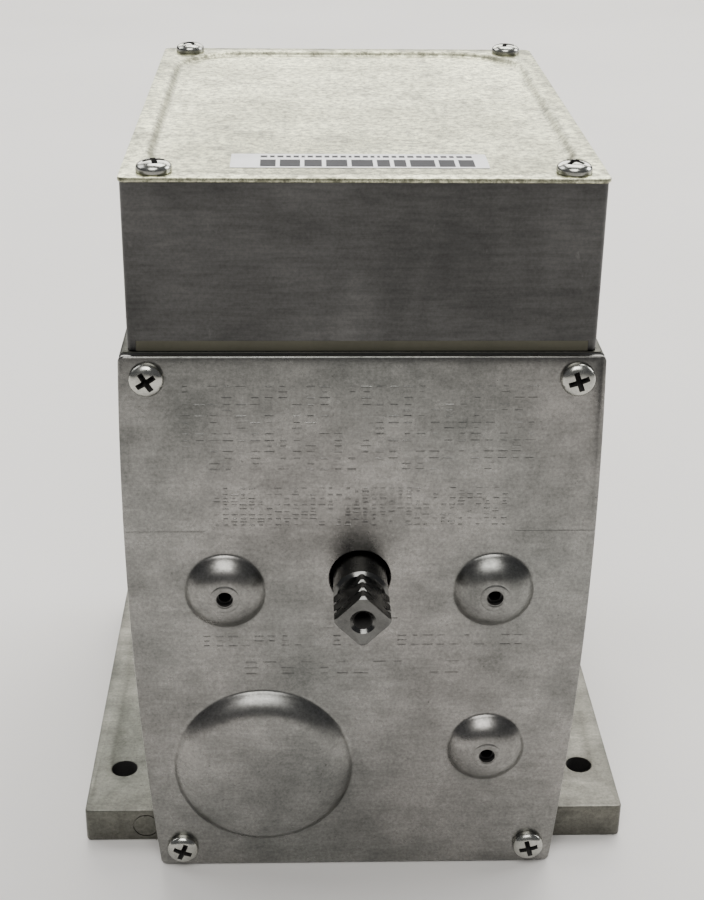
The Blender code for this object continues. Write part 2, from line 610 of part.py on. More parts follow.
def build_bushings(bronze):
    bore, outer = SHAFT_DIA / 2 + RUNNING, FRONT_BUSHING_DIA / 2
    middle = FRONT_FRAME_Y + FRAME_THICK / 2
    low, high = middle - FRONT_BUSHING_LONG / 2, middle + FRONT_BUSHING_LONG / 2
    front = [(bore, low), (outer, low), (outer, high), (bore, high)]
    shape = turned(front, (0, 0, SHAFT_Z), "Y", 24, closed=True)
    add_object("shaft_bushing_front", shape, bronze, (0, middle, SHAFT_Z))
    plate, outer, collar = OVER_PLATES / 2, REAR_BUSHING_DIA / 2, REAR_COLLAR_DIA / 2
    low, high = plate - REAR_BUSHING_DEEP, plate + REAR_COLLAR_HIGH
    across, along = REAR_COLLAR_CHAMFER
    rear = [(bore, low), (outer, low), (outer, plate + GAP), (collar, plate + GAP)]
    rear += [(collar, high - along), (collar - across, high), (bore, high)]
    shape = turned(rear, (0, 0, SHAFT_Z), "Y", FINE, closed=True)
    add_object("shaft_bushing_rear", shape, bronze, (0, plate, SHAFT_Z))


# ---- Drive motor ----


def slot_outline(reach, bore, wide, steps=4):
    """The stator's bore, with slots that open into it."""
    half_slot = math.asin(wide / 2 / bore)
    points = []
    for slot in range(SLOTS):
        middle = math.pi / 4 + 2 * math.pi * slot / SLOTS
        outer = math.asin(wide / 2 / reach)
        for radius, turn in ((bore, -half_slot), (reach, -outer), (reach, outer), (bore, half_slot)):
            points.append((radius, middle + turn))
        for i in range(1, steps):
            span = 2 * math.pi / SLOTS - 2 * half_slot
            points.append((bore, middle + half_slot + span * i / steps))
    return [(MOTOR[0] + r * math.cos(t), MOTOR[1] + r * math.sin(t)) for r, t in points]


def build_stator(laminated, copper):
    end = STATOR_Y + STATOR_LONG
    hole = slot_outline(SLOT_REACH, BORE_DIA / 2, SLOT_WIDE)
    core = prism(circle(MOTOR, STATOR_DIA, FINE), STATOR_Y, end, "Y", [hole])
    add_object("stator_core", core, laminated, (MOTOR[0], STATOR_Y, MOTOR[1]))
    inner, outer, thick = BORE_DIA / 2 + 2 * GAP, SLOT_REACH - 0.4, END_TURNS_LONG
    rings = []
    for low in (STATOR_Y - GAP - thick, end + GAP):
        profile = [(inner, low), (outer, low), (outer + 1, low + thick / 2)]
        profile += [(outer, low + thick), (inner, low + thick)]
        rings.append(turned(profile, (MOTOR[0], 0, MOTOR[1]), "Y", 24, closed=True))
    winding = add_object("stator_winding", rings[0], copper, (MOTOR[0], STATOR_Y, MOTOR[1]))
    join(winding, rings[1])
    for slot in range(SLOTS):
        turn = math.pi / 4 + 2 * math.pi * slot / SLOTS
        half = SLOT_WIDE / 2 - GAP
        bar = block((inner + 0.8, STATOR_Y - 3, -half), (outer - 1.0, end + 3, half))
        spin = Matrix.Translation((MOTOR[0], 0, MOTOR[1])) @ Matrix.Rotation(-turn, 4, "Y")
        bmesh.ops.transform(bar, matrix=spin, verts=bar.verts)
        join(winding, bar)


def build_motor_bells(material):
    """Two cups, one at each end of the stator, hold its bearings and hide its end turns."""
    bore, rim, inner = ROTOR_SHAFT_DIA / 2 + RUNNING, STATOR_DIA / 2, STATOR_DIA / 2 - BELL_WALL
    end = STATOR_Y + STATOR_LONG
    shapes = {
        "motor_front_bell": (STATOR_Y - GAP, STATOR_Y - GAP - FRONT_BELL_LONG, -1),
        "motor_rear_bell": (end + GAP, FRONT_FRAME_Y - GAP, 1),
    }
    for name, (seat, back, out) in shapes.items():
        floor = back - (BELL_WALL + GAP) * out
        profile = [(bore, back), (inner, back), (rim, back - BELL_WALL * out), (rim, seat)]
        profile += [(inner, seat), (inner, floor), (bore, floor)]
        shape = turned(profile, (MOTOR[0], 0, MOTOR[1]), "Y", 28, closed=True)
        add_object(name, shape, material, (MOTOR[0], seat, MOTOR[1]))


def build_rotor(pinion_phase, laminated, steel):
    middle = STATOR_Y + STATOR_LONG / 2
    place = (MOTOR[0], middle, MOTOR[1])
    axis = pivot("rotor_axis", place)
    low, high = middle - ROTOR_LONG / 2, middle + ROTOR_LONG / 2
    bore = circle(MOTOR, ROTOR_SHAFT_DIA + 2 * GAP, 16)
    core = prism(circle(MOTOR, ROTOR_DIA, FINE), low, high, "Y", [bore])
    add_object("rotor_core", core, laminated, place, axis)
    bar = rod(MOTOR, ROTOR_SHAFT_DIA, ROTOR_SHAFT_FRONT, MOTOR_PINION[1] - 1, "Y", 16)
    shaft = add_object("rotor_shaft", bar, steel, place, axis)
    join(shaft, prism(gear_outline(MOTOR, PINION_TEETH, FINE_MODULE, pinion_phase), *MOTOR_PINION))


# ---- Limit switches ----


def build_switches(steel, black, red):
    half, back = BRACKET_WIDE / 2, FRONT_FRAME_Y - GAP
    low = SWITCH_HIGH + GAP
    shelf = block((-half, back - BRACKET_LONG, low), (half, back, low + BRACKET_THICK))
    bracket = add_object("switch_bracket", shelf, steel)
    join(bracket, block((-half, back - BRACKET_THICK, SWITCH_LOW), (half, back, low + 1)))
    for i, (middle, _) in enumerate(CAMS):
        corner = SWITCH_WIDE / 2
        near, far = middle - SWITCH_THICK / 2, middle + SWITCH_THICK / 2
        case = block((-corner, near, SWITCH_LOW), (corner, far, SWITCH_HIGH))
        switch = add_object(f"limit_switch_{i + 1}", case, black, (0, middle, SWITCH_LOW))
        place = (0.0, middle)
        cut(switch, rod(place, BUTTON_DIA + 0.4, SWITCH_LOW - 3, SWITCH_LOW + BUTTON_POCKET, "Z"))
        start = SHAFT_Z + CAM_DIA / 2 + BUTTON_CLEAR
        button = rod(place, BUTTON_DIA, start, SWITCH_LOW + BUTTON_SUNK, "Z")
        add_object(f"switch_button_{i + 1}", button, red, (0, middle, start))


# ---- Wiring box ----


def build_box(steel, fibre):
    inner_x, inner_y = BOX_HALF_X - SHEET, BOX_HALF_Y - SHEET
    bottom = BARREL_TOP + GAP
    shape = block((-BOX_HALF_X, -BOX_HALF_Y, bottom), (BOX_HALF_X, BOX_HALF_Y, BOX_TOP))
    box = add_object("wiring_box", shape, steel, (0, 0, bottom))
    upper = block((-inner_x, -inner_y, BOX_FLOOR + SHEET), (inner_x, inner_y, BOX_TOP + 5))
    lower = block((-inner_x, -inner_y, bottom - 5), (inner_x, inner_y, BOX_FLOOR))
    notch_high = (NOTCH_HALF, 1 - inner_y, BOX_FLOOR - 0.01)
    cut(box, upper, lower, block((-NOTCH_HALF, -BOX_HALF_Y - 5, bottom - 5), notch_high))
    for sx in (-1, 1):
        for sy in (-1, 1):
            into_wall = SHEET / 2
            tab_high = (inner_x + into_wall, inner_y + into_wall, BOX_TOP - 0.02)
            tab = block((*TAB_INNER, BOX_TOP - SHEET), tab_high)
            bmesh.ops.scale(tab, verts=tab.verts, vec=(sx, sy, 1))
            join(box, tab)
            place = (sx * COVER_SCREW_X, sy * COVER_SCREW_Y)
            cut(box, rod(place, SCREW_DIA + GAP, BOX_TOP - 5, BOX_TOP + 5, "Z"))
    cut(box, rod((0, CONDUIT_Z), CONDUIT_DIA, -70, 70, "X", FINE))
    cut(box, rod(LEAD_HOLE, LEAD_HOLE_DIA, bottom - 5, BOX_FLOOR + 5, "Z"))
    build_box_gasket(bottom, inner_y, fibre)


def build_box_gasket(bottom, inner_y, fibre):
    """A sheet under the box, with a boss that plugs the lead holes in the box and the casting."""
    sheet = rectangle((GAP - NOTCH_HALF, 0.1 - BOX_HALF_Y), (NOTCH_HALF - GAP, inner_y - GAP))
    gasket = add_object("box_gasket", prism(sheet, bottom, BOX_FLOOR - GAP, "Z"), fibre, (0, 0, bottom))
    boss_low, boss_high = BARREL_TOP - ROOF - 1, BOX_FLOOR + SHEET + 1
    join(gasket, rod(LEAD_HOLE, LEAD_HOLE_DIA - 2 * GAP, boss_low, boss_high, "Z"))


def level(outline, z):
    return [(x, y, z) for x, y in outline]


def build_cover(zinc, paper, bright):
    """A lid with a raised rim: the panel is pressed down, with sloping sides and well rounded corners."""
    under = COVER_TOP - COVER_SHEET
    edge = rounded_rectangle(COVER_HALF_X, COVER_HALF_Y, 1.5)
    top = [
        rounded_rectangle(PANEL_HALF_X + s, PANEL_HALF_Y + s, PANEL_RADIUS + s) for s in (0, PANEL_SLOPE)
    ]
    inside = [
        rounded_rectangle(PANEL_HALF_X + s, PANEL_HALF_Y + s, PANEL_RADIUS + s)
        for s in (-0.8, PANEL_SLOPE - 0.8)
    ]
    loops = [
        level(top[0], COVER_TOP - PANEL_DEEP),
        level(top[1], COVER_TOP),
        level(edge, COVER_TOP),
        level(edge, under),
        level(inside[1], under),
        level(inside[0], under - PANEL_DEEP),
    ]
    cover = add_object("box_cover", skinned(loops), zinc, (0, 0, COVER_TOP))
    places = [(sx * COVER_SCREW_X, sy * COVER_SCREW_Y) for sy in (-1, 1) for sx in (-1, 1)]
    holes = [rod(place, SCREW_DIA + 0.8, under - 5, COVER_TOP + 5, "Z") for place in places]
    cut(cover, merged(*holes))
    for i, (x, y) in enumerate(places):
        screw(f"cover_screw_{i + 1}", (x, y, COVER_TOP + GAP), (0, 0, 1), 8.0, bright)
    stuck_on = COVER_TOP - PANEL_DEEP + GAP
    label = block((*LABEL_LOW, stuck_on), (*LABEL_HIGH, stuck_on + LABEL_THICK))
    add_object("cover_label", label, paper, (0, LABEL_LOW[1], stuck_on))


def build_transformer(floor, laminated, copper):
    """A shell core with two windows, and a square coil round its middle leg."""
    x, y = TRANSFORMER
    wide, thick, high = CORE_SIZE
    window_low, window_top = floor + CORE_LEG, floor + CORE_LEG + WINDOW_HIGH
    windows = [
        rectangle((x + low, window_low), (x + low + WINDOW_WIDE, window_top))
        for low in (CORE_LEG, -CORE_LEG - WINDOW_WIDE)
    ]
    outline = rectangle((x - wide / 2, floor), (x + wide / 2, floor + high))
    core = prism(outline, y - thick / 2, y + thick / 2, "Y", windows)
    add_object("transformer_core", core, laminated, (x, y, floor))
    inner = (CORE_LEG + GAP, thick / 2 + GAP)
    outer = (CORE_LEG + WINDOW_WIDE - GAP, COIL_REACH)
    rings = [rectangle((x - a, y - b), (x + a, y + b)) for a, b in (outer, inner)]
    coil = prism(rings[0], window_low + 1, window_top - 1, "Z", rings[1:])
    add_object("transformer_coil", coil, copper, (x, y, floor))


def build_terminals(floor, black, brass):
    """A block with an open pocket for each terminal screw."""
    wide, deep, high = TERMINALS_SIZE
    y, top = TERMINALS_Y, floor + high
    body = block((-wide / 2, y - deep / 2, floor), (wide / 2, y + deep / 2, top))
    terminals = add_object("terminal_block", body, black, (0, y, floor))
    seat, half, screw_y = top - TERMINAL_POCKET_DEEP, TERMINAL_POCKET_WIDE / 2, y - 2
    for x in TERMINAL_PLACES:
        cut(terminals, block((x - half, y - deep, seat), (x + half, y + 4, top + 5)))
        cut(terminals, rod((x, screw_y), SCREW_DIA + GAP, floor + 1, top, "Z"))
    for i, x in enumerate(TERMINAL_PLACES):
        head_at = (x, screw_y, seat + GAP)
        screw(f"terminal_screw_{i + 1}", head_at, (0, 0, 1), 5.0, brass, TERMINAL_HEAD_DIA)


def build_conduit_plug(black):
    """A shallow cup pressed into the spare conduit hole, with a flat rim outside."""
    wall, neck = -BOX_HALF_X, CONDUIT_DIA / 2 - GAP
    rim, seat = PLUG_RIM_DIA / 2, -BOX_HALF_X - GAP
    deep = wall + SHEET + PLUG_DEEP
    profile = [(0, seat - PLUG_RIM_THICK), (rim - 1, seat - PLUG_RIM_THICK), (rim, seat), (neck, seat)]
    profile += [(neck, deep), (neck - PLUG_WALL, deep), (neck - PLUG_WALL, wall), (0, wall)]
    plug = turned(profile, (0, 0, CONDUIT_Z), "X", FINE)
    add_object("conduit_plug", plug, black, (wall, 0, CONDUIT_Z))


def build_box_contents(laminated, copper, black, brass, green):
    floor = BOX_FLOOR + SHEET + GAP
    build_transformer(floor, laminated, copper)
    build_terminals(floor, black, brass)
    screw("ground_screw", (*GROUND_SCREW, floor), (0, 0, 1), 0.2, green, GROUND_HEAD_DIA)
    build_conduit_plug(black)


def main():
    clear_scene()
    zinc = finish("cast_zinc", (0.42, 0.42, 0.40), 0.5, 0.85)
    cover_zinc = finish("bright_zinc", (0.72, 0.73, 0.68), 0.4, 0.9)
    grey_steel = finish("grey_steel", (0.20, 0.20, 0.20), 0.45, 0.8)
    steel = finish("gear_steel", (0.38, 0.38, 0.38), 0.35, 1.0)
    bright = finish("bright_steel", (0.75, 0.75, 0.74), 0.25, 1.0)
    dark = finish("shaft_steel", (0.22, 0.22, 0.22), 0.35, 1.0)
    laminated = finish("laminations", (0.16, 0.16, 0.17), 0.55, 0.8)
    bronze = finish("bronze", (0.55, 0.38, 0.20), 0.4, 1.0)
    brass = finish("brass", (0.70, 0.55, 0.25), 0.3, 1.0)
    copper = finish("copper_winding", (0.55, 0.25, 0.12), 0.4, 0.8)
    black_fibre = finish("black_fibre", (0.03, 0.03, 0.03), 0.9, 0.0)
    brown_fibre = finish("brown_fibre", (0.22, 0.17, 0.10), 0.8, 0.0)
    black = finish("black_plastic", (0.03, 0.03, 0.03), 0.5, 0.0)
    nylon = finish("white_nylon", (0.80, 0.78, 0.72), 0.5, 0.0)
    red = finish("red_plastic", (0.55, 0.05, 0.04), 0.4, 0.0)
    green = finish("green_steel", (0.05, 0.30, 0.10), 0.4, 0.6)
    paper = finish("white_label", (0.88, 0.88, 0.86), 0.6, 0.0)

    build_housing(zinc)
    build_ends(zinc, black_fibre, bright)
    shaft_axis = pivot("output_axis", (0, 0, SHAFT_Z))
    build_output_shaft(shaft_axis, dark)
    build_cams(shaft_axis, nylon)
    motor_phase = build_gears(shaft_axis, steel, brass)
    build_frame(grey_steel, bright, black)
    build_bushings(bronze)
    build_stator(laminated, copper)
    build_motor_bells(grey_steel)
    build_rotor(motor_phase, laminated, steel)
    build_switches(grey_steel, black, red)
    build_box(grey_steel, brown_fibre)
    build_cover(cover_zinc, paper, bright)
    build_box_contents(laminated, copper, black, brass, green)


main()
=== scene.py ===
import json
import math
import random

import bmesh
import bpy
from mathutils import Matrix, Vector


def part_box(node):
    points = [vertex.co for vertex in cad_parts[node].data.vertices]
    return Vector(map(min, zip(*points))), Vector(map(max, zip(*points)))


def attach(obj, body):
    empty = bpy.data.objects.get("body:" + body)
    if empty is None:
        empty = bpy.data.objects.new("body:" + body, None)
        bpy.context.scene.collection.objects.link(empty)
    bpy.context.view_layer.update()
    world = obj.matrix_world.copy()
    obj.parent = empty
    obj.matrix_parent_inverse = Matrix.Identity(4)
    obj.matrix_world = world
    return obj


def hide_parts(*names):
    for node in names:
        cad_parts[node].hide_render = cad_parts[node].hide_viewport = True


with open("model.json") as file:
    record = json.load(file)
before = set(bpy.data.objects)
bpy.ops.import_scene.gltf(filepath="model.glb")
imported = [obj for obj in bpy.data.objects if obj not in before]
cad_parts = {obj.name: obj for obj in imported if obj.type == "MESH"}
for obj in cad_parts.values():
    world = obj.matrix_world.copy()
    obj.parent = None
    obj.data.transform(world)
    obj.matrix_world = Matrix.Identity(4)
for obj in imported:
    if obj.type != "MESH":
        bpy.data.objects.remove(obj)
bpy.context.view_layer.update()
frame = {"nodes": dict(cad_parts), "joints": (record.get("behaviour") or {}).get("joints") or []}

# Lengths are millimetres, in the frame's own axes, and pieces are written in metres.
MM = 0.001
WELD = 0.0005
HOUSING = "housing"


def place_of(node):
    """A CAD node's lowest and highest corners at rest, in millimetres."""
    low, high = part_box(node)
    return Vector(low) / MM, Vector(high) / MM


def middle_of(node):
    low, high = place_of(node)
    return (low + high) / 2


JOINTS = {joint["name"]: joint for joint in frame["joints"]}
SHAFT_Z = JOINTS["shaft_turn"]["pos_m"][2] / MM
MOTOR_X, _, MOTOR_Z = (value / MM for value in JOINTS["rotor_turn"]["pos_m"])
CASTING_LOW, CASTING_HIGH = place_of("motor_housing")
PLATE_SHEET = 1.2
PLATE_FACE = CASTING_LOW.y - 3.0  # the outer face of the auxiliary end plate
BARREL_LOW, BARREL_HIGH = 0.25, CASTING_HIGH.z
FLANGE_HIGH, FLANGE_FRONT = 9.4, 59.5
WAIST, WAIST_HEIGHT, CROWN = 54.6, 100.0, 1960.0
DOME_HIGH, DOME_DIA, DOME_FLAT_DIA, DOME_HOLE_DIA = 4.0, 19.0, 7.6, 3.9
MOTOR_DOME_DIA, MOTOR_DOME_FLAT_DIA = 44.0, 32.0
PLATE_SCREWS = [middle_of(f"aux_plate_screw_{i}") for i in (1, 2, 3, 4)]
COVER_SCREWS = [middle_of(f"cover_screw_{i}") for i in (1, 2, 3, 4)]
PILLARS = [middle_of(f"pillar_{i}") for i in (1, 2, 3)]
FOOT_X, FOOT_Y, FOOT_HOLE_DIA = 61.3, 41.275, 6.6
CAVITY_HALF_X, CAVITY_HALF_Z, CAVITY_MIDDLE, CAVITY_CORNER = 48.5, 62.5, 71.5, 12.0
LEAD_HOLE, LEAD_HOLE_DIA, LEAD_BOSS_DIA = (30.0, 42.0), 12.0, 11.4
AUX_SHAFT_HOLE_DIA, POWER_SHAFT_HOLE_DIA = 14.1, 19.6
PLATE_SCREW_HOLE_DIA, COVER_SCREW_HOLE_DIA = 4.4, 4.2
HEAD_RADIUS, HEAD_HIGH, HEAD_SHANK = 3.9, 2.6, 6.0
SHAFT_DIA, SHAFT_SQUARE, SHAFT_ROUND_REACH = 12.7, 9.525, 9.0
BOX_SHEET, BOX_BEND, BOX_FLOOR = 1.2, 1.6, 142.3
CONDUIT_HEIGHT, CONDUIT_HOLE_DIA = 160.0, 22.2
TOOL_REACH = 5.0  # how far a cutter runs past the faces it opens


# ---- Solids ----


def write_piece(name, shape, material, smooth=35.0):
    """Makes an object from a bmesh in millimetres, smooth shaded up to an angle between faces."""
    bmesh.ops.remove_doubles(shape, verts=shape.verts, dist=WELD)
    bmesh.ops.recalc_face_normals(shape, faces=shape.faces)
    bmesh.ops.scale(shape, verts=shape.verts, vec=(MM, MM, MM))
    mesh = bpy.data.meshes.new(name)
    shape.to_mesh(mesh)
    shape.free()
    mesh.shade_smooth()
    mesh.set_sharp_from_angle(angle=math.radians(smooth))
    if material:
        mesh.materials.append(material)
    obj = bpy.data.objects.new(name, mesh)
    bpy.context.scene.collection.objects.link(obj)
    return obj


def settle(obj, smooth=35.0):
    """Applies the modifiers and shades the result smooth up to an angle."""
    graph = bpy.context.evaluated_depsgraph_get()
    mesh = bpy.data.meshes.new_from_object(obj.evaluated_get(graph))
    old = obj.data
    obj.modifiers.clear()
    obj.data = mesh
    mesh.name = obj.name
    bpy.data.meshes.remove(old)
    mesh.shade_smooth()
    mesh.set_sharp_from_angle(angle=math.radians(smooth))
    return obj


def carve(obj, shape, operation="DIFFERENCE", lining=None):
    """Cuts or joins a solid. Cut faces take the `lining` material where one is given."""
    tool = write_piece("tool", shape, lining)
    modifier = obj.modifiers.new("Carve", "BOOLEAN")
    modifier.operation = operation
    modifier.solver = "EXACT"
    modifier.material_mode = "TRANSFER" if lining else "INDEX"
    modifier.object = tool
    settle(obj)
    bpy.data.objects.remove(tool, do_unlink=True)
    return obj


def soften(obj, width, segments=3, angle=30.0):
    """Rounds the edges that are sharper than an angle."""
    modifier = obj.modifiers.new("Soften", "BEVEL")
    modifier.width = width * MM
    modifier.segments = segments
    modifier.limit_method = "ANGLE"
    modifier.angle_limit = math.radians(angle)
    modifier.harden_normals = False
    return settle(obj, angle)


def circle(centre, diameter, sides=48):
    turns = [2 * math.pi * i / sides for i in range(sides)]
    return [(centre[0] + diameter / 2 * math.cos(t), centre[1] + diameter / 2 * math.sin(t)) for t in turns]


def rectangle(low, high):
    return [tuple(low), (high[0], low[1]), tuple(high), (low[0], high[1])]


def rounded_rectangle(half_x, half_y, radius, steps=10):
    points = []
    for quarter, (sx, sy) in enumerate(((1, 1), (-1, 1), (-1, -1), (1, -1))):
        for i in range(steps + 1):
            turn = math.pi / 2 * (quarter + i / steps)
            x = sx * (half_x - radius) + radius * math.cos(turn)
            y = sy * (half_y - radius) + radius * math.sin(turn)
            points.append((x, y))
    return points


def half_width(z):
    """The barrel's bowed sides."""
    return WAIST - (z - WAIST_HEIGHT) ** 2 / CROWN


def barrel_outline(inset=0.0, corner=1.2, steps=28):
    """The bowed outline, with a small radius at its four corners."""
    low, high = BARREL_LOW + inset, BARREL_HIGH - inset
    levels = [low + corner + (high - low - 2 * corner) * i / steps for i in range(steps + 1)]
    right = [(half_width(z) - inset, z) for z in levels]
    rounding = [math.radians(a) for a in (22.5, 45.0, 67.5)]
    below, above = half_width(low) - inset, half_width(high) - inset
    cuts = [(corner * (1 - math.cos(a)), corner * (1 - math.sin(a))) for a in rounding]
    foot = [(below - across, low + up) for across, up in cuts]
    head = [(above - across, high - up) for across, up in cuts]
    lowest, highest = (below - corner, low), (above - corner, high)
    right = [lowest, *reversed(foot), *right, *head, highest]
    return right + [(-x, z) for x, z in reversed(right)]


TO_AXIS = {
    "X": Matrix(((0, 0, 1, 0), (1, 0, 0, 0), (0, 1, 0, 0), (0, 0, 0, 1))),
    "Y": Matrix(((1, 0, 0, 0), (0, 0, -1, 0), (0, 1, 0, 0), (0, 0, 0, 1))),
    "Z": Matrix.Identity(4),
}


def prism(outline, low, high, axis="Y", holes=()):
    """The outline, less its holes, filled and extruded from `low` to `high` along an axis."""
    curve = bpy.data.curves.new("outline", "CURVE")
    curve.dimensions = "2D"
    curve.fill_mode = "BOTH"
    curve.extrude = (high - low) / 2
    for loop in (outline, *holes):
        spline = curve.splines.new("POLY")
        spline.points.add(len(loop) - 1)
        spline.use_cyclic_u = True
        for point, (x, y) in zip(spline.points, loop):
            point.co = (x, y, 0.0, 1.0)
    drawing = bpy.data.objects.new("outline", curve)
    bpy.context.scene.collection.objects.link(drawing)
    graph = bpy.context.evaluated_depsgraph_get()
    filled = bpy.data.meshes.new_from_object(drawing.evaluated_get(graph))
    shape = bmesh.new()
    shape.from_mesh(filled)
    bpy.data.objects.remove(drawing, do_unlink=True)
    bpy.data.curves.remove(curve)
    bpy.data.meshes.remove(filled)
    bmesh.ops.remove_doubles(shape, verts=shape.verts, dist=WELD)
    flat = math.radians(1.0)
    bmesh.ops.dissolve_limit(shape, angle_limit=flat, verts=shape.verts, edges=shape.edges)
    bmesh.ops.transform(shape, matrix=TO_AXIS[axis], verts=shape.verts)
    shift = Vector(((low + high) / 2 if axis == name else 0.0) for name in "XYZ")
    bmesh.ops.translate(shape, verts=shape.verts, vec=shift)
    return shape


def block(low, high):
    return prism(rectangle(low[:2], high[:2]), low[2], high[2], "Z")


def rod(centre, diameter, low, high, axis="Y", sides=48):
    return prism(circle(centre, diameter, sides), low, high, axis)


def turned(profile, centre, axis="Y", sides=64, closed=False):
    """Turns (radius, height) points about an axis through `centre`."""
    shape = bmesh.new()
    corners = [shape.verts.new((radius, 0.0, height)) for radius, height in profile]
    edges = [shape.edges.new(pair) for pair in zip(corners, corners[1:])]
    if closed:
        edges.append(shape.edges.new((corners[-1], corners[0])))
    whole = 2 * math.pi
    geometry = corners + edges
    bmesh.ops.spin(shape, geom=geometry, axis=(0, 0, 1), angle=whole, steps=sides, use_merge=True)
    bmesh.ops.remove_doubles(shape, verts=shape.verts, dist=WELD)
    stand = {"X": Matrix.Rotation(math.pi / 2, 4, "Y"), "Y": Matrix.Rotation(-math.pi / 2, 4, "X")}
    bmesh.ops.transform(shape, matrix=stand.get(axis, Matrix.Identity(4)), verts=shape.verts)
    bmesh.ops.translate(shape, verts=shape.verts, vec=centre)
    return shape


def merged(shapes):
    whole = bmesh.new()
    for shape in shapes:
        part = bpy.data.meshes.new("part")
        bmesh.ops.recalc_face_normals(shape, faces=shape.faces)
        shape.to_mesh(part)
        shape.free()
        whole.from_mesh(part)
        bpy.data.meshes.remove(part)
    return whole


def skinned(loops):
    """A closed solid over loops of equal length, with the first and the last filled in."""
    shape = bmesh.new()
    rings = [[shape.verts.new(point) for point in loop] for loop in loops]
    for ring, following in zip(rings, rings[1:]):
        for i, corner in enumerate(ring):
            j = (i + 1) % len(ring)
            shape.faces.new((corner, ring[j], following[j], following[i]))
    shape.faces.new(rings[0])
    shape.faces.new(rings[-1])
    return shape


# ---- Materials ----


class Finish:
    """One procedural material: textures in the frame's metres drive colour, roughness and relief."""

    def __init__(self, name, metallic, roughness):
        self.material = bpy.data.materials.new(name)
        self.material.use_nodes = True
        self.tree = self.material.node_tree
        self.shader = self.tree.nodes["Principled BSDF"]
        self.shader.inputs["Metallic"].default_value = metallic
        self.shader.inputs["Roughness"].default_value = roughness
        self.where = self.tree.nodes.new("ShaderNodeTexCoord").outputs["Object"]

    def link(self, source, target):
        self.tree.links.new(source, target)

    def noise(self, size, detail=4.0, rough=0.55, warp=0.0, stretch=(1, 1, 1)):
        """Cloudy values with features about `size` millimetres across, drawn out along `stretch`."""
        mapping = self.tree.nodes.new("ShaderNodeMapping")
        mapping.inputs["Scale"].default_value = [1 / value for value in stretch]
        self.link(self.where, mapping.inputs["Vector"])
        node = self.tree.nodes.new("ShaderNodeTexNoise")
        node.inputs["Scale"].default_value = 1 / (size * MM)
        node.inputs["Detail"].default_value = detail
        node.inputs["Roughness"].default_value = rough
        node.inputs["Distortion"].default_value = warp
        self.link(mapping.outputs["Vector"], node.inputs["Vector"])
        return node.outputs["Fac"]

    def cells(self, size):
        node = self.tree.nodes.new("ShaderNodeTexVoronoi")
        node.inputs["Scale"].default_value = 1 / (size * MM)
        self.link(self.where, node.inputs["Vector"])
        return node.outputs["Color"]

    def height(self):
        """The height over the floor, from 0 at the floor to 1 at 200 millimetres."""
        mapping = self.tree.nodes.new("ShaderNodeMapping")
        mapping.inputs["Scale"].default_value = (1.0, 1.0, 1 / (200.0 * MM))
        self.link(self.where, mapping.inputs["Vector"])
        split = self.tree.nodes.new("ShaderNodeSeparateXYZ")
        self.link(mapping.outputs["Vector"], split.inputs["Vector"])
        return split.outputs["Z"]

    def ramp(self, source, *stops):
        """Maps a value through (position, colour or grey) stops."""
        node = self.tree.nodes.new("ShaderNodeValToRGB")
        points = node.color_ramp.elements
        while len(points) < len(stops):
            points.new(0.5)
        for point, (position, colour) in zip(points, stops):
            point.position = position
            grey = isinstance(colour, float)
            point.color = (colour, colour, colour, 1.0) if grey else (*colour, 1.0)
        self.link(source, node.inputs["Fac"])
        return node.outputs["Color"]

    def mix(self, first, second, amount=1.0, blend="MULTIPLY"):
        node = self.tree.nodes.new("ShaderNodeMix")
        node.data_type = "RGBA"
        node.blend_type = blend
        for socket, value in ((node.inputs[0], amount), (node.inputs[6], first), (node.inputs[7], second)):
            if isinstance(value, bpy.types.NodeSocket):
                self.link(value, socket)
            else:
                socket.default_value = value
        return node.outputs[2]

    def relief(self, *layers):
        """Stacks bumps of (height source, depth in millimetres)."""
        normal = None
        for source, depth in layers:
            node = self.tree.nodes.new("ShaderNodeBump")
            node.inputs["Strength"].default_value = 1.0
            node.inputs["Distance"].default_value = depth * MM
            self.link(source, node.inputs["Height"])
            if normal:
                self.link(normal, node.inputs["Normal"])
            normal = node.outputs["Normal"]
        self.link(normal, self.shader.inputs["Normal"])

    def wear(self, colour=None, roughness=None):
        if colour:
            self.link(colour, self.shader.inputs["Base Color"])
        if roughness:
            self.link(roughness, self.shader.inputs["Roughness"])
        return self.material


def grey(value, warm=0.0):
    return (value * (1 + warm), value, value * (1 - 2 * warm))


def patina_zinc(name, dark, light, tone=(1.0, 1.0, 0.96), rough=(0.3, 0.42), blotch_size=13.0):
    """Handled zinc: clouded blotches, fine grain, a few pits and stains."""
    made = Finish(name, 1.0, 0.36)
    blotch = made.noise(blotch_size, 9.0, 0.7)
    patch = made.noise(4.0 * blotch_size, 4.0, 0.55)
    grain = made.noise(0.8, 5.0, 0.8)
    streak = made.noise(1.3, 4.0, 0.7, 0.0, (6, 1, 1))
    pits = made.noise(2.4, 5.0, 0.75)
    middle = (dark + light) / 2
    stops = ((0.34, dark), (0.5, middle), (0.66, light))
    base = made.ramp(blotch, *((at, tuple(level * t for t in tone)) for at, level in stops))
    base = made.mix(base, made.ramp(patch, (0.36, (0.88, 0.89, 0.88)), (0.62, (1.04, 1.01, 1.0))))
    base = made.mix(base, made.ramp(grain, (0.3, 0.62), (0.68, 1.12)))
    base = made.mix(base, made.ramp(streak, (0.34, 0.87), (0.66, 1.07)))
    base = made.mix(base, made.ramp(pits, (0.29, 0.45), (0.35, 1.0)))
    shadow = made.ramp(made.height(), (0.02, 0.96), (0.1, 1.0), (0.56, 1.0), (0.69, 0.72))
    base = made.mix(base, shadow)
    shine = made.ramp(blotch, (0.35, rough[1]), (0.65, rough[0]))
    made.relief((blotch, 0.04), (grain, 0.014))
    return made.wear(base, shine)


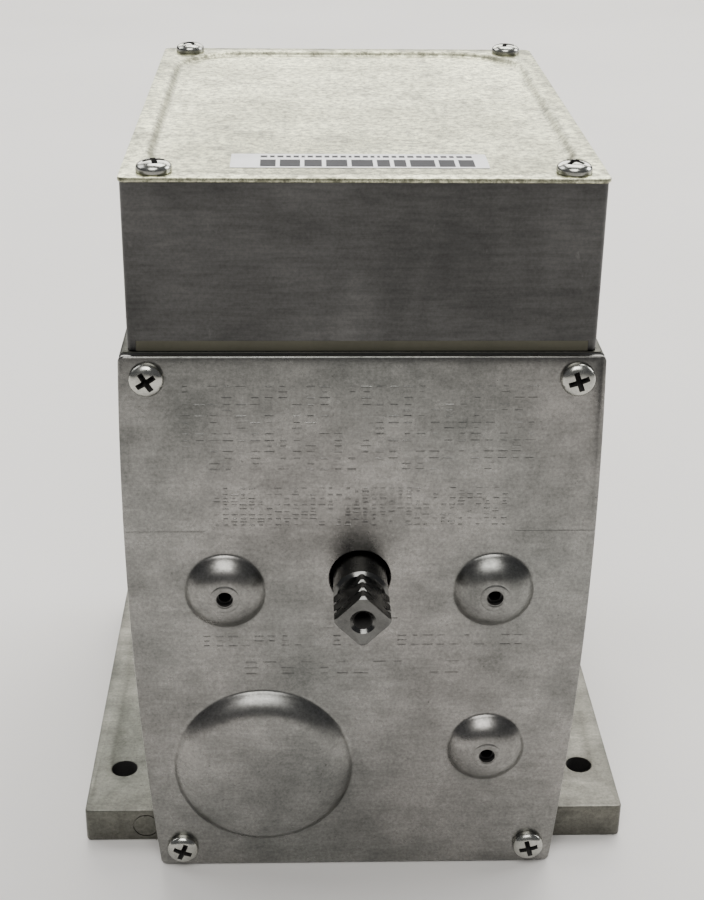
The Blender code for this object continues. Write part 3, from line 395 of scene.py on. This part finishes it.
def spangled_zinc(name, level=1.0):
    """Galvanised lid: pale, warm, speckled, with rubbed and dusty patches; a `level` below 1 darkens it all
    as painted shade.
    """
    made = Finish(name, 1.0, 0.4)
    cloud = made.noise(26.0, 6.0, 0.65)
    mottle = made.noise(1.8, 7.0, 0.85)
    dust = made.noise(8.0, 8.0, 0.75)
    marks = made.noise(4.0, 7.0, 0.8, 0.0, (1, 3, 1))
    base = made.ramp(cloud, (0.40, (0.60, 0.595, 0.42)), (0.58, (0.86, 0.855, 0.62)))
    base = made.mix(base, made.ramp(mottle, (0.44, 0.34), (0.56, 1.06)))
    # `level` scales the colour: the slope's copy at 0.72 is painted shade
    base = made.mix(base, made.ramp(made.cells(3.0), (0.0, 0.84 * level), (1.0, 1.08 * level)))
    base = made.mix(base, made.ramp(dust, (0.50, 1.0), (0.62, 0.60)))
    base = made.mix(base, made.ramp(marks, (0.31, 0.15), (0.35, 1.0)))
    shine = made.ramp(mottle, (0.35, 0.42), (0.65, 0.28))
    made.relief((cloud, 0.08), (mottle, 0.025))
    return made.wear(base, shine)


def rolled_steel(name, dark, light, warm=0.01, rough=(0.36, 0.48), stretch=(10, 10, 1)):
    """Grey rolled sheet: fine drawn grain, cloudy oxide and small scuffs."""
    made = Finish(name, 1.0, 0.42)
    cloud = made.noise(32.0, 5.0, 0.6, 0.4)
    drawn = made.noise(0.9, 3.0, 0.6, 0.0, stretch)
    grain = made.noise(0.8, 4.0, 0.7)
    scuffs = made.noise(3.2, 6.0, 0.75, 0.2, (1, 1, 3))
    base = made.ramp(cloud, (0.36, grey(dark, warm)), (0.64, grey(light, warm)))
    base = made.mix(base, made.ramp(drawn, (0.35, 0.88), (0.65, 1.08)))
    base = made.mix(base, made.ramp(grain, (0.3, 0.8), (0.65, 1.05)))
    base = made.mix(base, made.ramp(scuffs, (0.64, 1.0), (0.72, 1.35)))
    made.relief((cloud, 0.05), (grain, 0.008), (drawn, 0.004))
    return made.wear(base, made.ramp(cloud, (0.35, rough[1]), (0.65, rough[0])))


def machined(name, colour, rough, stretch=(1, 1, 1), shade=0.75):
    """Turned, cut or plated metal: tool lines and light tarnish."""
    made = Finish(name, 1.0, rough)
    lines = made.noise(0.35, 2.0, 0.5, 0.0, stretch)
    tarnish = made.noise(5.0, 5.0, 0.65, 0.5)
    darker = tuple(value * shade for value in colour)
    base = made.ramp(tarnish, (0.35, darker), (0.6, colour))
    base = made.mix(base, made.ramp(lines, (0.3, 0.85), (0.7, 1.05)))
    made.relief((lines, 0.004))
    return made.wear(base, made.ramp(tarnish, (0.35, rough + 0.1), (0.65, rough - 0.04)))


def moulded(name, colour, rough=0.5, grain=0.6):
    """Plastic, fibre or enamel with a fine surface grain."""
    made = Finish(name, 0.0, rough)
    cloud = made.noise(12.0, 4.0, 0.6)
    texture = made.noise(grain, 3.0, 0.6)
    base = made.ramp(cloud, (0.3, tuple(0.82 * value for value in colour)), (0.7, colour))
    made.relief((texture, 0.01))
    return made.wear(base, made.ramp(texture, (0.3, rough + 0.08), (0.7, rough - 0.05)))


def stacked(name, colour):
    """Laminations: thin sheets seen edge on."""
    made = Finish(name, 1.0, 0.5)
    wave = made.tree.nodes.new("ShaderNodeTexWave")
    wave.bands_direction = "Y"
    wave.inputs["Scale"].default_value = 320.0
    made.link(made.where, wave.inputs["Vector"])
    sheets = wave.outputs["Fac"]
    base = made.ramp(sheets, (0.2, tuple(0.5 * v for v in colour)), (0.6, colour))
    base = made.mix(base, made.ramp(made.noise(8.0), (0.3, 0.8), (0.7, 1.1)))
    made.relief((sheets, 0.05))
    return made.wear(base)


def wound(name, colour):
    """Enamelled wire laid in close turns."""
    made = Finish(name, 0.6, 0.35)
    wave = made.tree.nodes.new("ShaderNodeTexWave")
    wave.bands_direction = "DIAGONAL"
    wave.inputs["Scale"].default_value = 260.0
    wave.inputs["Distortion"].default_value = 0.6
    made.link(made.where, wave.inputs["Vector"])
    turns = wave.outputs["Fac"]
    base = made.ramp(turns, (0.15, tuple(0.35 * v for v in colour)), (0.6, colour))
    made.relief((turns, 0.12))
    return made.wear(base)


PLATE_ZINC = patina_zinc("plate_zinc", 0.205, 0.315, rough=(0.25, 0.36))
CAST_ZINC = patina_zinc("cast_zinc", 0.13, 0.19, (1.0, 1.0, 0.88), (0.36, 0.48), 11.0)
LID_ZINC = spangled_zinc("lid_zinc")
# a darker copy of the lid zinc for the slope faces: painted shade
LID_SLOPE_PAINTED_SHADE = spangled_zinc("lid_slope_painted_shade", 0.72)
BOX_STEEL = rolled_steel("box_steel", 0.067, 0.105)
FRAME_STEEL = rolled_steel("frame_steel", 0.30, 0.42)
SCREW_ZINC = machined("screw_zinc", (0.50, 0.50, 0.46), 0.2)
SHAFT_STEEL = machined("dark_shaft_steel", (0.135, 0.135, 0.13), 0.2, (1, 0.3, 1), 0.6)
# Painted shade: a near-black lining for the walls of cut holes and recesses
RECESS_PAINTED_SHADE = moulded("recess_painted_shade", (0.012, 0.011, 0.010), 0.8, 0.4)
GEAR_STEEL = machined("gear_steel", (0.50, 0.50, 0.50), 0.32)
BRASS = machined("brass", (0.75, 0.58, 0.28), 0.28)
BRONZE = machined("bronze", (0.50, 0.34, 0.18), 0.4)
GREEN_STEEL = machined("green_steel", (0.06, 0.32, 0.12), 0.35)
LAMINATIONS = stacked("laminations", (0.24, 0.24, 0.25))
WINDING = wound("winding", (0.60, 0.24, 0.09))
# Black fibre for the end gaskets; its near-black edge round the end plates is also painted shade for the
# gap there
BLACK_FIBRE_AND_GAP_SHADE = moulded("black_fibre", (0.012, 0.012, 0.012), 0.9)
BROWN_FIBRE = moulded("brown_fibre", (0.085, 0.08, 0.055), 0.7, 1.2)
BLACK_PLASTIC = moulded("black_plastic", (0.025, 0.025, 0.027), 0.42)
NYLON = moulded("nylon", (0.78, 0.75, 0.68), 0.45)
RED_PLASTIC = moulded("red_plastic", (0.50, 0.03, 0.02), 0.35)
PAPER = moulded("label_paper", (0.95, 0.95, 0.95), 0.5, 0.3)
INK = moulded("label_ink", (0.05, 0.05, 0.055), 0.85, 0.3)

NODE_FINISHES = {
    BLACK_FIBRE_AND_GAP_SHADE: ("aux_end_gasket", "power_end_gasket"),
    FRAME_STEEL: (
        *("front_frame_plate", "rear_frame_plate", "switch_bracket"),
        *("motor_front_bell", "motor_rear_bell"),
    ),
    BOX_STEEL: ("pillar_1", "pillar_2", "pillar_3"),
    GEAR_STEEL: (
        *("axle_1", "axle_2", "axle_3", "output_gear", "rotor_shaft"),
        *("gear_cluster_1", "gear_cluster_2", "gear_cluster_3"),
    ),
    BRASS: ("potentiometer_gear", *(f"terminal_screw_{i}" for i in (1, 2, 3, 4))),
    BRONZE: ("shaft_bushing_front", "shaft_bushing_rear"),
    GREEN_STEEL: ("ground_screw",),
    LAMINATIONS: ("stator_core", "rotor_core", "transformer_core"),
    WINDING: ("stator_winding", "transformer_coil"),
    BLACK_PLASTIC: (
        *("terminal_block", "limit_switch_1", "limit_switch_2"),
        *("potentiometer_body", "conduit_plug"),
    ),
    NYLON: ("cam_1", "cam_2"),
    RED_PLASTIC: ("switch_button_1", "switch_button_2"),
}


def finish_nodes():
    for material, names in NODE_FINISHES.items():
        for name in names:
            mesh = frame["nodes"][name].data
            mesh.materials.clear()
            mesh.materials.append(material)


# ---- Casting ----


def build_casting():
    """The barrel with its rounded cast edges and cavity, then the flange and the fillets."""
    front, back = CASTING_LOW.y, CASTING_HIGH.y
    edge = ((0.0, 0.5), (0.15, 0.15), (0.5, 0.0))
    ends = [(front + along, inset) for along, inset in edge]
    ends += [(back - along, inset) for along, inset in reversed(edge)]
    loops = [[(x, y, z) for x, z in barrel_outline(inset)] for y, inset in ends]
    barrel = write_piece("housing_barrel", skinned(loops), CAST_ZINC)
    inside = rounded_rectangle(CAVITY_HALF_X, CAVITY_HALF_Z, CAVITY_CORNER, 6)
    cavity = [(x, z + CAVITY_MIDDLE) for x, z in inside]
    carve(barrel, prism(cavity, front - TOOL_REACH, back + TOOL_REACH))
    lead_low, lead_high = BARREL_HIGH - 12, BARREL_HIGH + TOOL_REACH
    carve(barrel, rod(LEAD_HOLE, LEAD_HOLE_DIA, lead_low, lead_high, "Z"))
    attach(barrel, HOUSING)
    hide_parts("motor_housing")
    build_flange()
    build_fillet()


def build_flange():
    """The mounting flange, with its foot holes and a round moulding mark on its front edge."""
    outline = rounded_rectangle(CASTING_HIGH.x, FLANGE_FRONT, 1.2, 3)
    flange = write_piece("mounting_flange", prism(outline, 0.0, FLANGE_HIGH, "Z"), CAST_ZINC)
    feet = [(sx * FOOT_X, sy * FOOT_Y) for sx in (-1, 1) for sy in (-1, 1)]
    low, high = -TOOL_REACH, FLANGE_HIGH + TOOL_REACH
    bores = merged(rod(foot, FOOT_HOLE_DIA, low, high, "Z") for foot in feet)
    # the foot holes' walls are lined with painted shade
    carve(flange, bores, lining=RECESS_PAINTED_SHADE)
    soften(flange, 0.45, 2)
    mark_at = (-54.2, -FLANGE_FRONT, 4.6)
    ring = [(3.4, 0.3), (3.4, -0.04), (3.1, -0.04), (3.1, 0.3)]
    carve(flange, turned(ring, mark_at, "Y", 40, closed=True))
    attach(flange, HOUSING)
    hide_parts("motor_housing")


def build_fillet():
    """A cast radius where each side of the barrel runs into the flange."""
    reach, steps, sunk, short = 1.6, 6, 0.4, 0.6
    foot = half_width(FLANGE_HIGH)
    curve = [(foot - short, FLANGE_HIGH - sunk), (foot + reach, FLANGE_HIGH - sunk)]
    for i in range(steps + 1):
        turn = math.pi / 2 * i / steps
        x = foot + reach * (1 - math.sin(turn))
        curve.append((x, FLANGE_HIGH + 0.01 + reach * (1 - math.cos(turn))))
    curve.append((foot - short, FLANGE_HIGH + reach))
    for side, word in ((-1, "left"), (1, "right")):
        outline = [(side * x, z) for x, z in curve]
        shape = prism(outline, short - FLANGE_FRONT, FLANGE_FRONT - short)
        fillet = write_piece(f"flange_fillet_{word}", shape, CAST_ZINC)
        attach(fillet, HOUSING)


# ---- End plates ----


def dome_profile(base_dia, flat_dia, high):
    """A pressed dome: a filleted foot, a shoulder that eases from steep to shallow, and a flat top."""
    base, flat, foot = base_dia / 2, flat_dia / 2, 0.3
    steep, shallow, steps = math.radians(56.0), math.radians(8.0), 12
    slopes = [steep + (shallow - steep) * (i + 0.5) / steps for i in range(steps)]
    across = (base - flat) / sum(math.cos(slope) for slope in slopes)
    along = (high - foot) / sum(math.sin(slope) for slope in slopes)
    points = [(base + 1.4, 0.0), (base + 0.7, 0.05), (base + 0.2, 0.16), (base, foot)]
    for slope in slopes:
        radius, height = points[-1]
        points.append((radius - across * math.cos(slope), height + along * math.sin(slope)))
    return points


def pressed_dome(centre, base_dia, flat_dia, face, end, high=DOME_HIGH, sides=96):
    """The outside of a pressed dome, and the space behind it, as two closed solids."""
    outer = dome_profile(base_dia, flat_dia, high)
    place = (centre[0], face, centre[1])
    base = base_dia / 2
    skin = [(0.0, high), *reversed(outer), (base + 1.4, -0.6), (0.0, -0.6)]
    inner = [(max(radius - 1.0, 0.0), height - 1.0) for radius, height in outer if radius < base]
    hollow = [(0.0, high - 1.0), *reversed(inner), (inner[0][0], -3.0), (0.0, -3.0)]
    return [turned([(r, end * h) for r, h in profile], place, "Y", sides) for profile in (skin, hollow)]


def build_end_plate(name, node, end, domes, shaft_hole):
    """A pressed sheet: `domes` lists each dome's middle, base and flat top across."""
    face = end * abs(PLATE_FACE)
    back = ((PLATE_SHEET - 0.3, 0.0), (PLATE_SHEET, 0.2))
    edge = ((0.0, 0.25), (0.12, 0.06), (0.35, 0.0), *back)
    loops = [[(x, face - end * depth, z) for x, z in barrel_outline(inset)] for depth, inset in edge]
    plate = write_piece(name, skinned(loops), PLATE_ZINC)
    near, far = face - 10, face + 10
    holes = [rod((spot.x, spot.z), PLATE_SCREW_HOLE_DIA, near, far) for spot in PLATE_SCREWS]
    holes.append(rod((0.0, SHAFT_Z), shaft_hole, near, far, "Y", 96))
    carve(plate, merged(holes))
    pressed = [pressed_dome(place, base, flat, face, end) for place, base, flat in domes]
    carve(plate, merged(skin for skin, _ in pressed), "UNION")
    carve(plate, merged(hollow for _, hollow in pressed))
    middles = [place for place, base, _ in domes if base < 2 * DOME_DIA]
    bores = merged(rod(place, DOME_HOLE_DIA, face - 15, face + 15) for place in middles)
    # the dome holes' walls are lined with painted shade
    carve(plate, bores, lining=RECESS_PAINTED_SHADE)
    mouth, broken = shaft_hole / 2, 0.3
    cone = [(0.0, end), (mouth + broken + 1.0, end), (mouth, -end * broken), (0.0, -end * broken)]
    carve(plate, turned(cone, (0.0, face, SHAFT_Z), "Y", 96))
    settle(plate, 28.0)
    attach(plate, HOUSING)
    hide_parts(node)


def build_dome_rings(face):
    """A shallow raised ring round each hole in the auxiliary plate's small domes."""
    for i, spot in enumerate(PILLARS):
        level = face - DOME_HIGH
        profile = [(2.15, level + 0.3), (2.15, level - 0.10), (2.35, level - 0.2), (3.3, level - 0.2)]
        profile += [(3.55, level - 0.05), (3.55, level + 0.3)]
        shape = turned(profile, (spot.x, 0, spot.z), "Y", 64, closed=True)
        ring = write_piece(f"dome_ring_{i + 1}", shape, PLATE_ZINC)
        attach(ring, HOUSING)


STAMP_ROWS = (  # height on the plate, half length, mark height and pitch
    *((131.2 - 4.4 * row, 41.0, 3.4, 3.1) for row in range(5)),
    *((106.6 - 2.6 * row, 34.0, 2.0, 2.0) for row in range(4)),
    (71.6, 12.0, 3.2, 3.1),
    (66.8, 44.0, 3.2, 3.1),
    (59.2, 28.0, 4.0, 4.4),
)
CREASE_HEIGHT = 96.2


def ridge(low, high, face, proud):
    """A raised stroke between two corners on the plate, with sloping sides."""
    loops = []
    for y, grow in ((face + 0.2, 0.12), (face - 0.01, 0.12), (face - proud, -0.04)):
        (x0, z0), (x1, z1) = low, high
        corners = rectangle((x0 - grow, z0 - grow), (x1 + grow, z1 + grow))
        loops.append([(x, y, z) for x, z in corners])
    return skinned(loops)


def build_stamping(face):
    """Rows of plain dashes in pairs, unevenly struck, in place of stamped wording."""
    draw = random.Random(7)
    skipped, middle_missing, outer_missing = 0.1, 0.6, 0.2
    marks = []
    for height, half_length, tall, pitch in STAMP_ROWS:
        for i in range(int(2 * half_length / pitch)):
            if draw.random() < skipped:
                continue
            x = -half_length + (i + 0.5) * pitch
            for level in (-0.4, 0.0, 0.4):
                if draw.random() < (middle_missing if level == 0.0 else outer_missing):
                    continue
                reach = pitch * draw.uniform(0.16, 0.38)
                z = height + level * tall
                proud = draw.uniform(0.03, 0.10)
                marks.append(ridge((x - reach, z - 0.09), (x + reach, z + 0.09), face, proud))
    crease = CREASE_HEIGHT - 0.12, CREASE_HEIGHT + 0.12
    for side in (-1, 1):
        x = sorted((side * 36.0, side * (half_width(CREASE_HEIGHT) - 0.5)))
        marks.append(ridge((x[0], crease[0]), (x[1], crease[1]), face, 0.05))
    stamping = write_piece("plate_stamping", merged(marks), PLATE_ZINC, 10.0)
    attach(stamping, HOUSING)


def build_end_plates():
    small = [((spot.x, spot.z), DOME_DIA, DOME_FLAT_DIA) for spot in PILLARS]
    motor = ((MOTOR_X, MOTOR_Z), MOTOR_DOME_DIA, MOTOR_DOME_FLAT_DIA)
    build_end_plate("auxiliary_plate", "aux_end_plate", -1, [*small, motor], AUX_SHAFT_HOLE_DIA)
    build_end_plate("power_plate", "power_end_plate", 1, small[:2], POWER_SHAFT_HOLE_DIA)
    build_dome_rings(PLATE_FACE)
    build_stamping(PLATE_FACE)


# ---- Screws ----


def pan_head(name, under_head, direction, turn, replaced):
    """A Phillips pan head: a rolled rim, a domed top and a tapered cross recess."""
    radius, high, rim, shank_radius, steps = HEAD_RADIUS, HEAD_HIGH, 0.95, 1.6, 8
    profile = [(0.0, -HEAD_SHANK), (shank_radius, -HEAD_SHANK), (shank_radius, 0.0)]
    profile += [(radius - 0.25, 0.0), (radius, 0.25), (radius, rim)]
    for i in range(1, steps + 1):
        angle = math.pi / 2 * i / steps
        profile.append((radius * math.cos(angle) ** 0.75, rim + (high - rim) * math.sin(angle)))
    head = write_piece(name, turned(profile, (0, 0, 0), "Z", 48), SCREW_ZINC)
    mouth = rectangle((-2.75, -0.66), (2.75, 0.66))
    bottom = rectangle((-0.9, -0.4), (0.9, 0.4))
    for quarter in range(2):
        levels = ((mouth, high + 0.4), (bottom, -0.2))
        arm = skinned([[(x, y, z) for x, y in loop] for loop, z in levels])
        quarter_turn = Matrix.Rotation(math.pi / 2 * quarter, 3, "Z")
        bmesh.ops.rotate(arm, verts=arm.verts, matrix=quarter_turn)
        # the cross recess is lined with painted shade
        carve(head, arm, lining=RECESS_PAINTED_SHADE)
    aim = Vector((0, 0, 1)).rotation_difference(Vector(direction)).to_matrix().to_4x4()
    spin = Matrix.Rotation(math.radians(turn), 4, "Z")
    head.data.transform(Matrix.Translation(Vector(under_head) * MM) @ aim @ spin)
    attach(head, HOUSING)
    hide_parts(replaced)


SCREW_SETS = (  # kind, the way its heads face, and the angle of each recess
    ("aux_plate_screw", (0, -1, 0), (32, 20, 68, 15)),
    ("power_plate_screw", (0, 1, 0), (5, 40, 77, 28)),
    ("cover_screw", (0, 0, 1), (12, 50, 35, 70)),
)
HEAD_GAP = 0.25  # how much of the CAD's gap under a head is closed here


def build_screws():
    for kind, facing, turns in SCREW_SETS:
        for i, turn in enumerate(turns):
            node = f"{kind}_{i + 1}"
            low, high = place_of(node)
            seat = (low + high) / 2
            axis = 2 if facing[2] else 1
            seat[axis] = high[axis] - HEAD_HIGH if facing[axis] > 0 else low[axis] + HEAD_HIGH
            seat -= Vector(facing) * HEAD_GAP
            pan_head(f"{kind}_head_{i + 1}", seat, facing, turn, node)


# ---- Output shaft ----


def land_profile(shoulder, pitch):
    """Three lands between grooves, each chamfered at 45 degrees on its front, listed from the tip."""
    ridge_radius, front, groove, wide, rise = 6.42, 5.85, 5.15, 0.4, 0.12
    profile = [(front, -shoulder - 3 * pitch)]
    for land in (2, 1, 0):
        start = -shoulder - land * pitch
        profile.append((ridge_radius, start - pitch + ridge_radius - front))
        profile += [(ridge_radius, start - wide - rise), (groove, start - wide)]
        profile.append((groove, start - 0.02))
        if land:
            profile.append((front, start))
    return profile


def threaded_hole(mouth, end):
    """A tapped hole with thread ridges, turned as one closed cutter."""
    radius, core, pitch, turns = 2.3, 1.95, 0.8, 15
    profile = [(0.0, mouth + end), (radius, mouth + end)]
    for i in range(turns):
        depth = pitch * i
        profile += [(core, mouth - end * (depth + 0.4 * pitch)), (radius, mouth - end * (depth + pitch))]
    profile.append((0.0, mouth - end * pitch * turns))
    return turned(profile, (0, 0, SHAFT_Z), "Y", 48)


def countersink(mouth, end):
    wide, narrow, deep = 3.0, 2.2, 0.7
    slope = (wide - narrow) / deep
    profile = [(0.0, mouth + end), (wide + slope, mouth + end), (narrow, mouth - end * deep)]
    profile.append((0.0, mouth - end * deep))
    return turned(profile, (0, 0, SHAFT_Z), "Y", 48)


def build_shaft():
    """Round bar with a truncated square at each end, the auxiliary one notched in three lands."""
    low, high = place_of("output_shaft")
    radius, corner = SHAFT_DIA / 2, SHAFT_SQUARE / math.sqrt(2)
    shoulder = abs(PLATE_FACE) + SHAFT_ROUND_REACH
    profile = [(0.0, low.y), *land_profile(shoulder, (abs(low.y) - shoulder) / 3)]
    profile += [(radius - 0.75, -shoulder), (radius, 0.75 - shoulder), (radius, shoulder - 0.7)]
    profile += [(radius - 0.3, shoulder + 0.02), (radius - 0.3, high.y - 0.4)]
    profile += [(radius - 0.7, high.y), (0.0, high.y)]
    shaft = write_piece("square_shaft", turned(profile, (0, 0, SHAFT_Z), "Y", 96), SHAFT_STEEL, 25.0)
    square = [(x, z + SHAFT_Z) for x, z in ((0, corner), (-corner, 0), (0, -corner), (corner, 0))]
    collar = rectangle((-20, SHAFT_Z - 20), (20, SHAFT_Z + 20))
    for end in (-1, 1):
        near, far = sorted((end * (shoulder + 0.1), end * (abs(low.y) + TOOL_REACH)))
        carve(shaft, prism(collar, near, far, "Y", [square]))
        # the tapped hole is lined with painted shade
        carve(shaft, threaded_hole(end * abs(low.y), end), lining=RECESS_PAINTED_SHADE)
        carve(shaft, countersink(end * abs(low.y), end))
    settle(shaft, 25.0)
    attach(shaft, "output_shaft")
    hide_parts("output_shaft")


# ---- Wiring box, lid and label ----


def build_wiring_box():
    """A folded box open at the top, with a raised floor, a notched foot and four cover tabs."""
    low, high = place_of("wiring_box")
    sheet, floor = BOX_SHEET, BOX_FLOOR
    half_x, half_y = high.x, high.y
    outer = rounded_rectangle(half_x, half_y, BOX_BEND, 6)
    inner = rounded_rectangle(half_x - sheet, half_y - sheet, BOX_BEND - sheet, 6)
    box = write_piece("wiring_box_shell", prism(outer, low.z, high.z, "Z", [inner]), BOX_STEEL)
    carve(box, block((-50.9, -65.4, floor), (50.9, 65.4, floor + sheet)), "UNION")
    notch_low = (-50.0, -half_y - TOOL_REACH, low.z - TOOL_REACH)
    carve(box, block(notch_low, (50.0, -half_y + sheet + 0.5, floor - 0.05)))
    carve(box, rod((0, CONDUIT_HEIGHT), CONDUIT_HOLE_DIA, -70, 70, "X", 64))
    carve(box, rod(LEAD_HOLE, LEAD_HOLE_DIA, floor - TOOL_REACH, floor + TOOL_REACH, "Z"))
    for spot in COVER_SCREWS:
        sx, sy = math.copysign(1, spot.x), math.copysign(1, spot.y)
        (x0, x1), (y0, y1) = sorted((sx * 40.5, sx * 51.3)), sorted((sy * 59.5, sy * 65.8))
        carve(box, block((x0, y0, high.z - 1.2), (x1, y1, high.z - 0.02)), "UNION")
        pilot = rod((spot.x, spot.y), 3.6, high.z - TOOL_REACH, high.z + TOOL_REACH, "Z", 32)
        carve(box, pilot)
    settle(box, 30.0)
    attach(box, HOUSING)
    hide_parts("wiring_box")


def build_box_gasket():
    """The fibre sheet between the box and the casting, seen along the box's foot."""
    low, high = place_of("box_gasket")
    level = place_of("wiring_box")[0].z
    top = BOX_FLOOR - 0.06
    sheet = block((low.x - 0.25, low.y - 0.05, level - 0.15), (high.x + 0.25, high.y, top))
    gasket = write_piece("foot_gasket", sheet, BROWN_FIBRE)
    carve(gasket, rod(LEAD_HOLE, LEAD_BOSS_DIA, low.z + 0.1, high.z, "Z"), "UNION")
    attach(gasket, HOUSING)
    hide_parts("box_gasket")


def build_lid():
    """A pressed lid: raised rim, soft slope, sunken panel with large corner radii."""
    _, high = place_of("box_cover")
    half_x, half_y = high.x, high.y
    rim, deep, slope, sheet = high.z, 1.2, 2.2, 1.0
    panel_x, panel_y, radius = 45.9, 62.6, 18.5
    steps = 8

    def press(offset, drop):
        loops = []
        for i in range(steps + 1):
            part = i / steps
            fall = (1 - math.cos(math.pi * part)) / 2
            grow = slope * part + offset
            outline = rounded_rectangle(panel_x + grow, panel_y + grow, radius + grow, 14)
            loops.append([(x, y, rim - deep * (1 - fall) - drop) for x, y in outline])
        return loops

    def edge(inset, z):
        return [(x, y, z) for x, y in rounded_rectangle(half_x - inset, half_y - inset, 1.6, 14)]

    top, under = press(0.0, 0.0), press(-0.6, sheet)
    outside = [edge(0.25, rim), edge(0.07, rim - 0.07), edge(0.0, rim - 0.25)]
    outside += [edge(0.0, rim - sheet + 0.15), edge(0.12, rim - sheet)]
    shape = skinned([*top, *outside, *reversed(under)])
    shape.faces.ensure_lookup_table()
    # painted shade: the slope faces take the darker copy of the lid material
    for face in shape.faces[: steps * len(top[0])]:
        face.material_index = 1
    lid = write_piece("pressed_lid", shape, LID_ZINC, 50.0)
    lid.data.materials.append(LID_SLOPE_PAINTED_SHADE)
    places = [(spot.x, spot.y) for spot in COVER_SCREWS]
    near, far = rim - TOOL_REACH, rim + TOOL_REACH
    carve(lid, merged(rod(place, COVER_SCREW_HOLE_DIA, near, far, "Z") for place in places))
    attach(lid, HOUSING)
    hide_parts("box_cover")


def build_label():
    """A paper sticker with plain printed bars."""
    low, high = place_of("cover_label")
    half_x, half_y = (high.x - low.x) / 2, (high.y - low.y) / 2
    centre = (low + high) / 2
    under, thick = low.z - 0.28, 0.12
    outline = [(x + centre.x, y + centre.y) for x, y in rounded_rectangle(half_x, half_y, 0.5, 3)]
    paper = write_piece("label_sticker", prism(outline, under, under + thick, "Z"), PAPER)
    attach(paper, HOUSING)
    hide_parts("cover_label")
    draw = random.Random(3)
    bars = []
    # each row's front edge, depth, shortest and longest bar, and gap
    rows = ((0.9, 5.6, (2.6, 6.0), 0.9), (8.4, 1.5, (0.6, 1.5), 0.6))
    for front, deep, lengths, gap in rows:
        x = low.x + 6.5
        while x < high.x - 3.5:
            far = min(x + draw.uniform(*lengths), high.x - 1.2)
            near_y, far_y = low.y + front, low.y + front + deep
            bars.append(block((x, near_y, under + 0.1), (far, far_y, under + 0.16)))
            x = far + gap
    ink = write_piece("label_bars", merged(bars), INK, 10.0)
    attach(ink, HOUSING)


# ---- Stage ----


def build_stage():
    """A wide pale floor just under the flange."""
    made = Finish("pale_floor", 0.0, 0.6)
    cloud = made.noise(240.0, 4.0, 0.5)
    colour = made.ramp(cloud, (0.3, (0.74, 0.72, 0.70)), (0.7, (0.79, 0.77, 0.75)))
    material = made.wear(colour)
    mesh = bpy.data.meshes.new("floor")
    shape = bmesh.new()
    bmesh.ops.create_grid(shape, x_segments=1, y_segments=1, size=6.0)
    shape.to_mesh(mesh)
    shape.free()
    mesh.materials.append(material)
    floor = bpy.data.objects.new("floor", mesh)
    floor.location = (0.0, 0.0, -0.0002)
    bpy.context.scene.collection.objects.link(floor)


LIGHT_AIM = (0.0, 0.0, 0.1)
LIGHTS = (  # name, place and size in metres, power in watts, and colour
    ("ceiling", (-0.1, -0.95, 1.3), (0.9, 0.85), 16.0, (1.0, 0.99, 0.96)),
    ("overhead", (0.2, 0.75, 1.8), (1.4, 0.9), 30.0, (1.0, 0.99, 0.96)),
    ("back_wall", (0.15, 1.9, 1.15), (3.0, 1.0), 46.0, (1.0, 0.985, 0.93)),
    ("right_side", (1.9, 0.6, 1.0), (1.0, 1.0), 24.0, (1.0, 1.0, 1.0)),
    ("left_side", (-1.7, 0.7, 1.5), (1.2, 1.2), 17.0, (1.0, 1.0, 1.0)),
)
ROOM_COLOUR, ROOM_STRENGTH = (0.93, 0.95, 1.0, 1.0), 0.14


def add_light(name, place, size, power, colour):
    lamp = bpy.data.lights.new(name, "AREA")
    lamp.shape = "RECTANGLE"
    lamp.size, lamp.size_y = size
    lamp.energy = power
    lamp.color = colour
    obj = bpy.data.objects.new(name, lamp)
    obj.location = place
    aim = Vector(LIGHT_AIM) - Vector(place)
    obj.rotation_euler = aim.to_track_quat("-Z", "Y").to_euler()
    bpy.context.scene.collection.objects.link(obj)


def build_lights():
    for light in LIGHTS:
        add_light(*light)
    world = bpy.data.worlds.new("room")
    world.use_nodes = True
    world.node_tree.nodes["Background"].inputs["Color"].default_value = ROOM_COLOUR
    world.node_tree.nodes["Background"].inputs["Strength"].default_value = ROOM_STRENGTH
    bpy.context.scene.world = world


VIEW_ANGLES = (25.196, 2.018, 0.71)  # degrees of pitch, yaw and roll
VIEW_PLACE = (-13.73, PLATE_FACE - 326.4, 270.72)
VIEW_LENS = 64.04


def build_camera():
    """The photograph's view: a little left of the middle, looking down on the auxiliary end."""
    pitch, yaw, roll = (math.radians(angle) for angle in VIEW_ANGLES)
    level = math.cos(pitch)
    forward = Vector((math.sin(yaw) * level, math.cos(yaw) * level, -math.sin(pitch)))
    right = Vector((math.cos(yaw), -math.sin(yaw), 0.0))
    up = right.cross(forward)
    tilted_right = math.cos(roll) * right + math.sin(roll) * up
    tilted_up = math.cos(roll) * up - math.sin(roll) * right
    camera = bpy.data.cameras.new("view")
    camera.lens, camera.sensor_width = VIEW_LENS, 36.0
    obj = bpy.data.objects.new("view", camera)
    place = Vector(VIEW_PLACE) * MM
    turn = Matrix((tilted_right, tilted_up, -forward)).transposed().to_4x4()
    obj.matrix_world = Matrix.Translation(place) @ turn
    bpy.context.scene.collection.objects.link(obj)
    bpy.context.scene.camera = obj


build_camera()
build_stage()
build_lights()
finish_nodes()
build_casting()
build_end_plates()
build_screws()
build_shaft()
build_wiring_box()
build_box_gasket()
build_lid()
build_label()
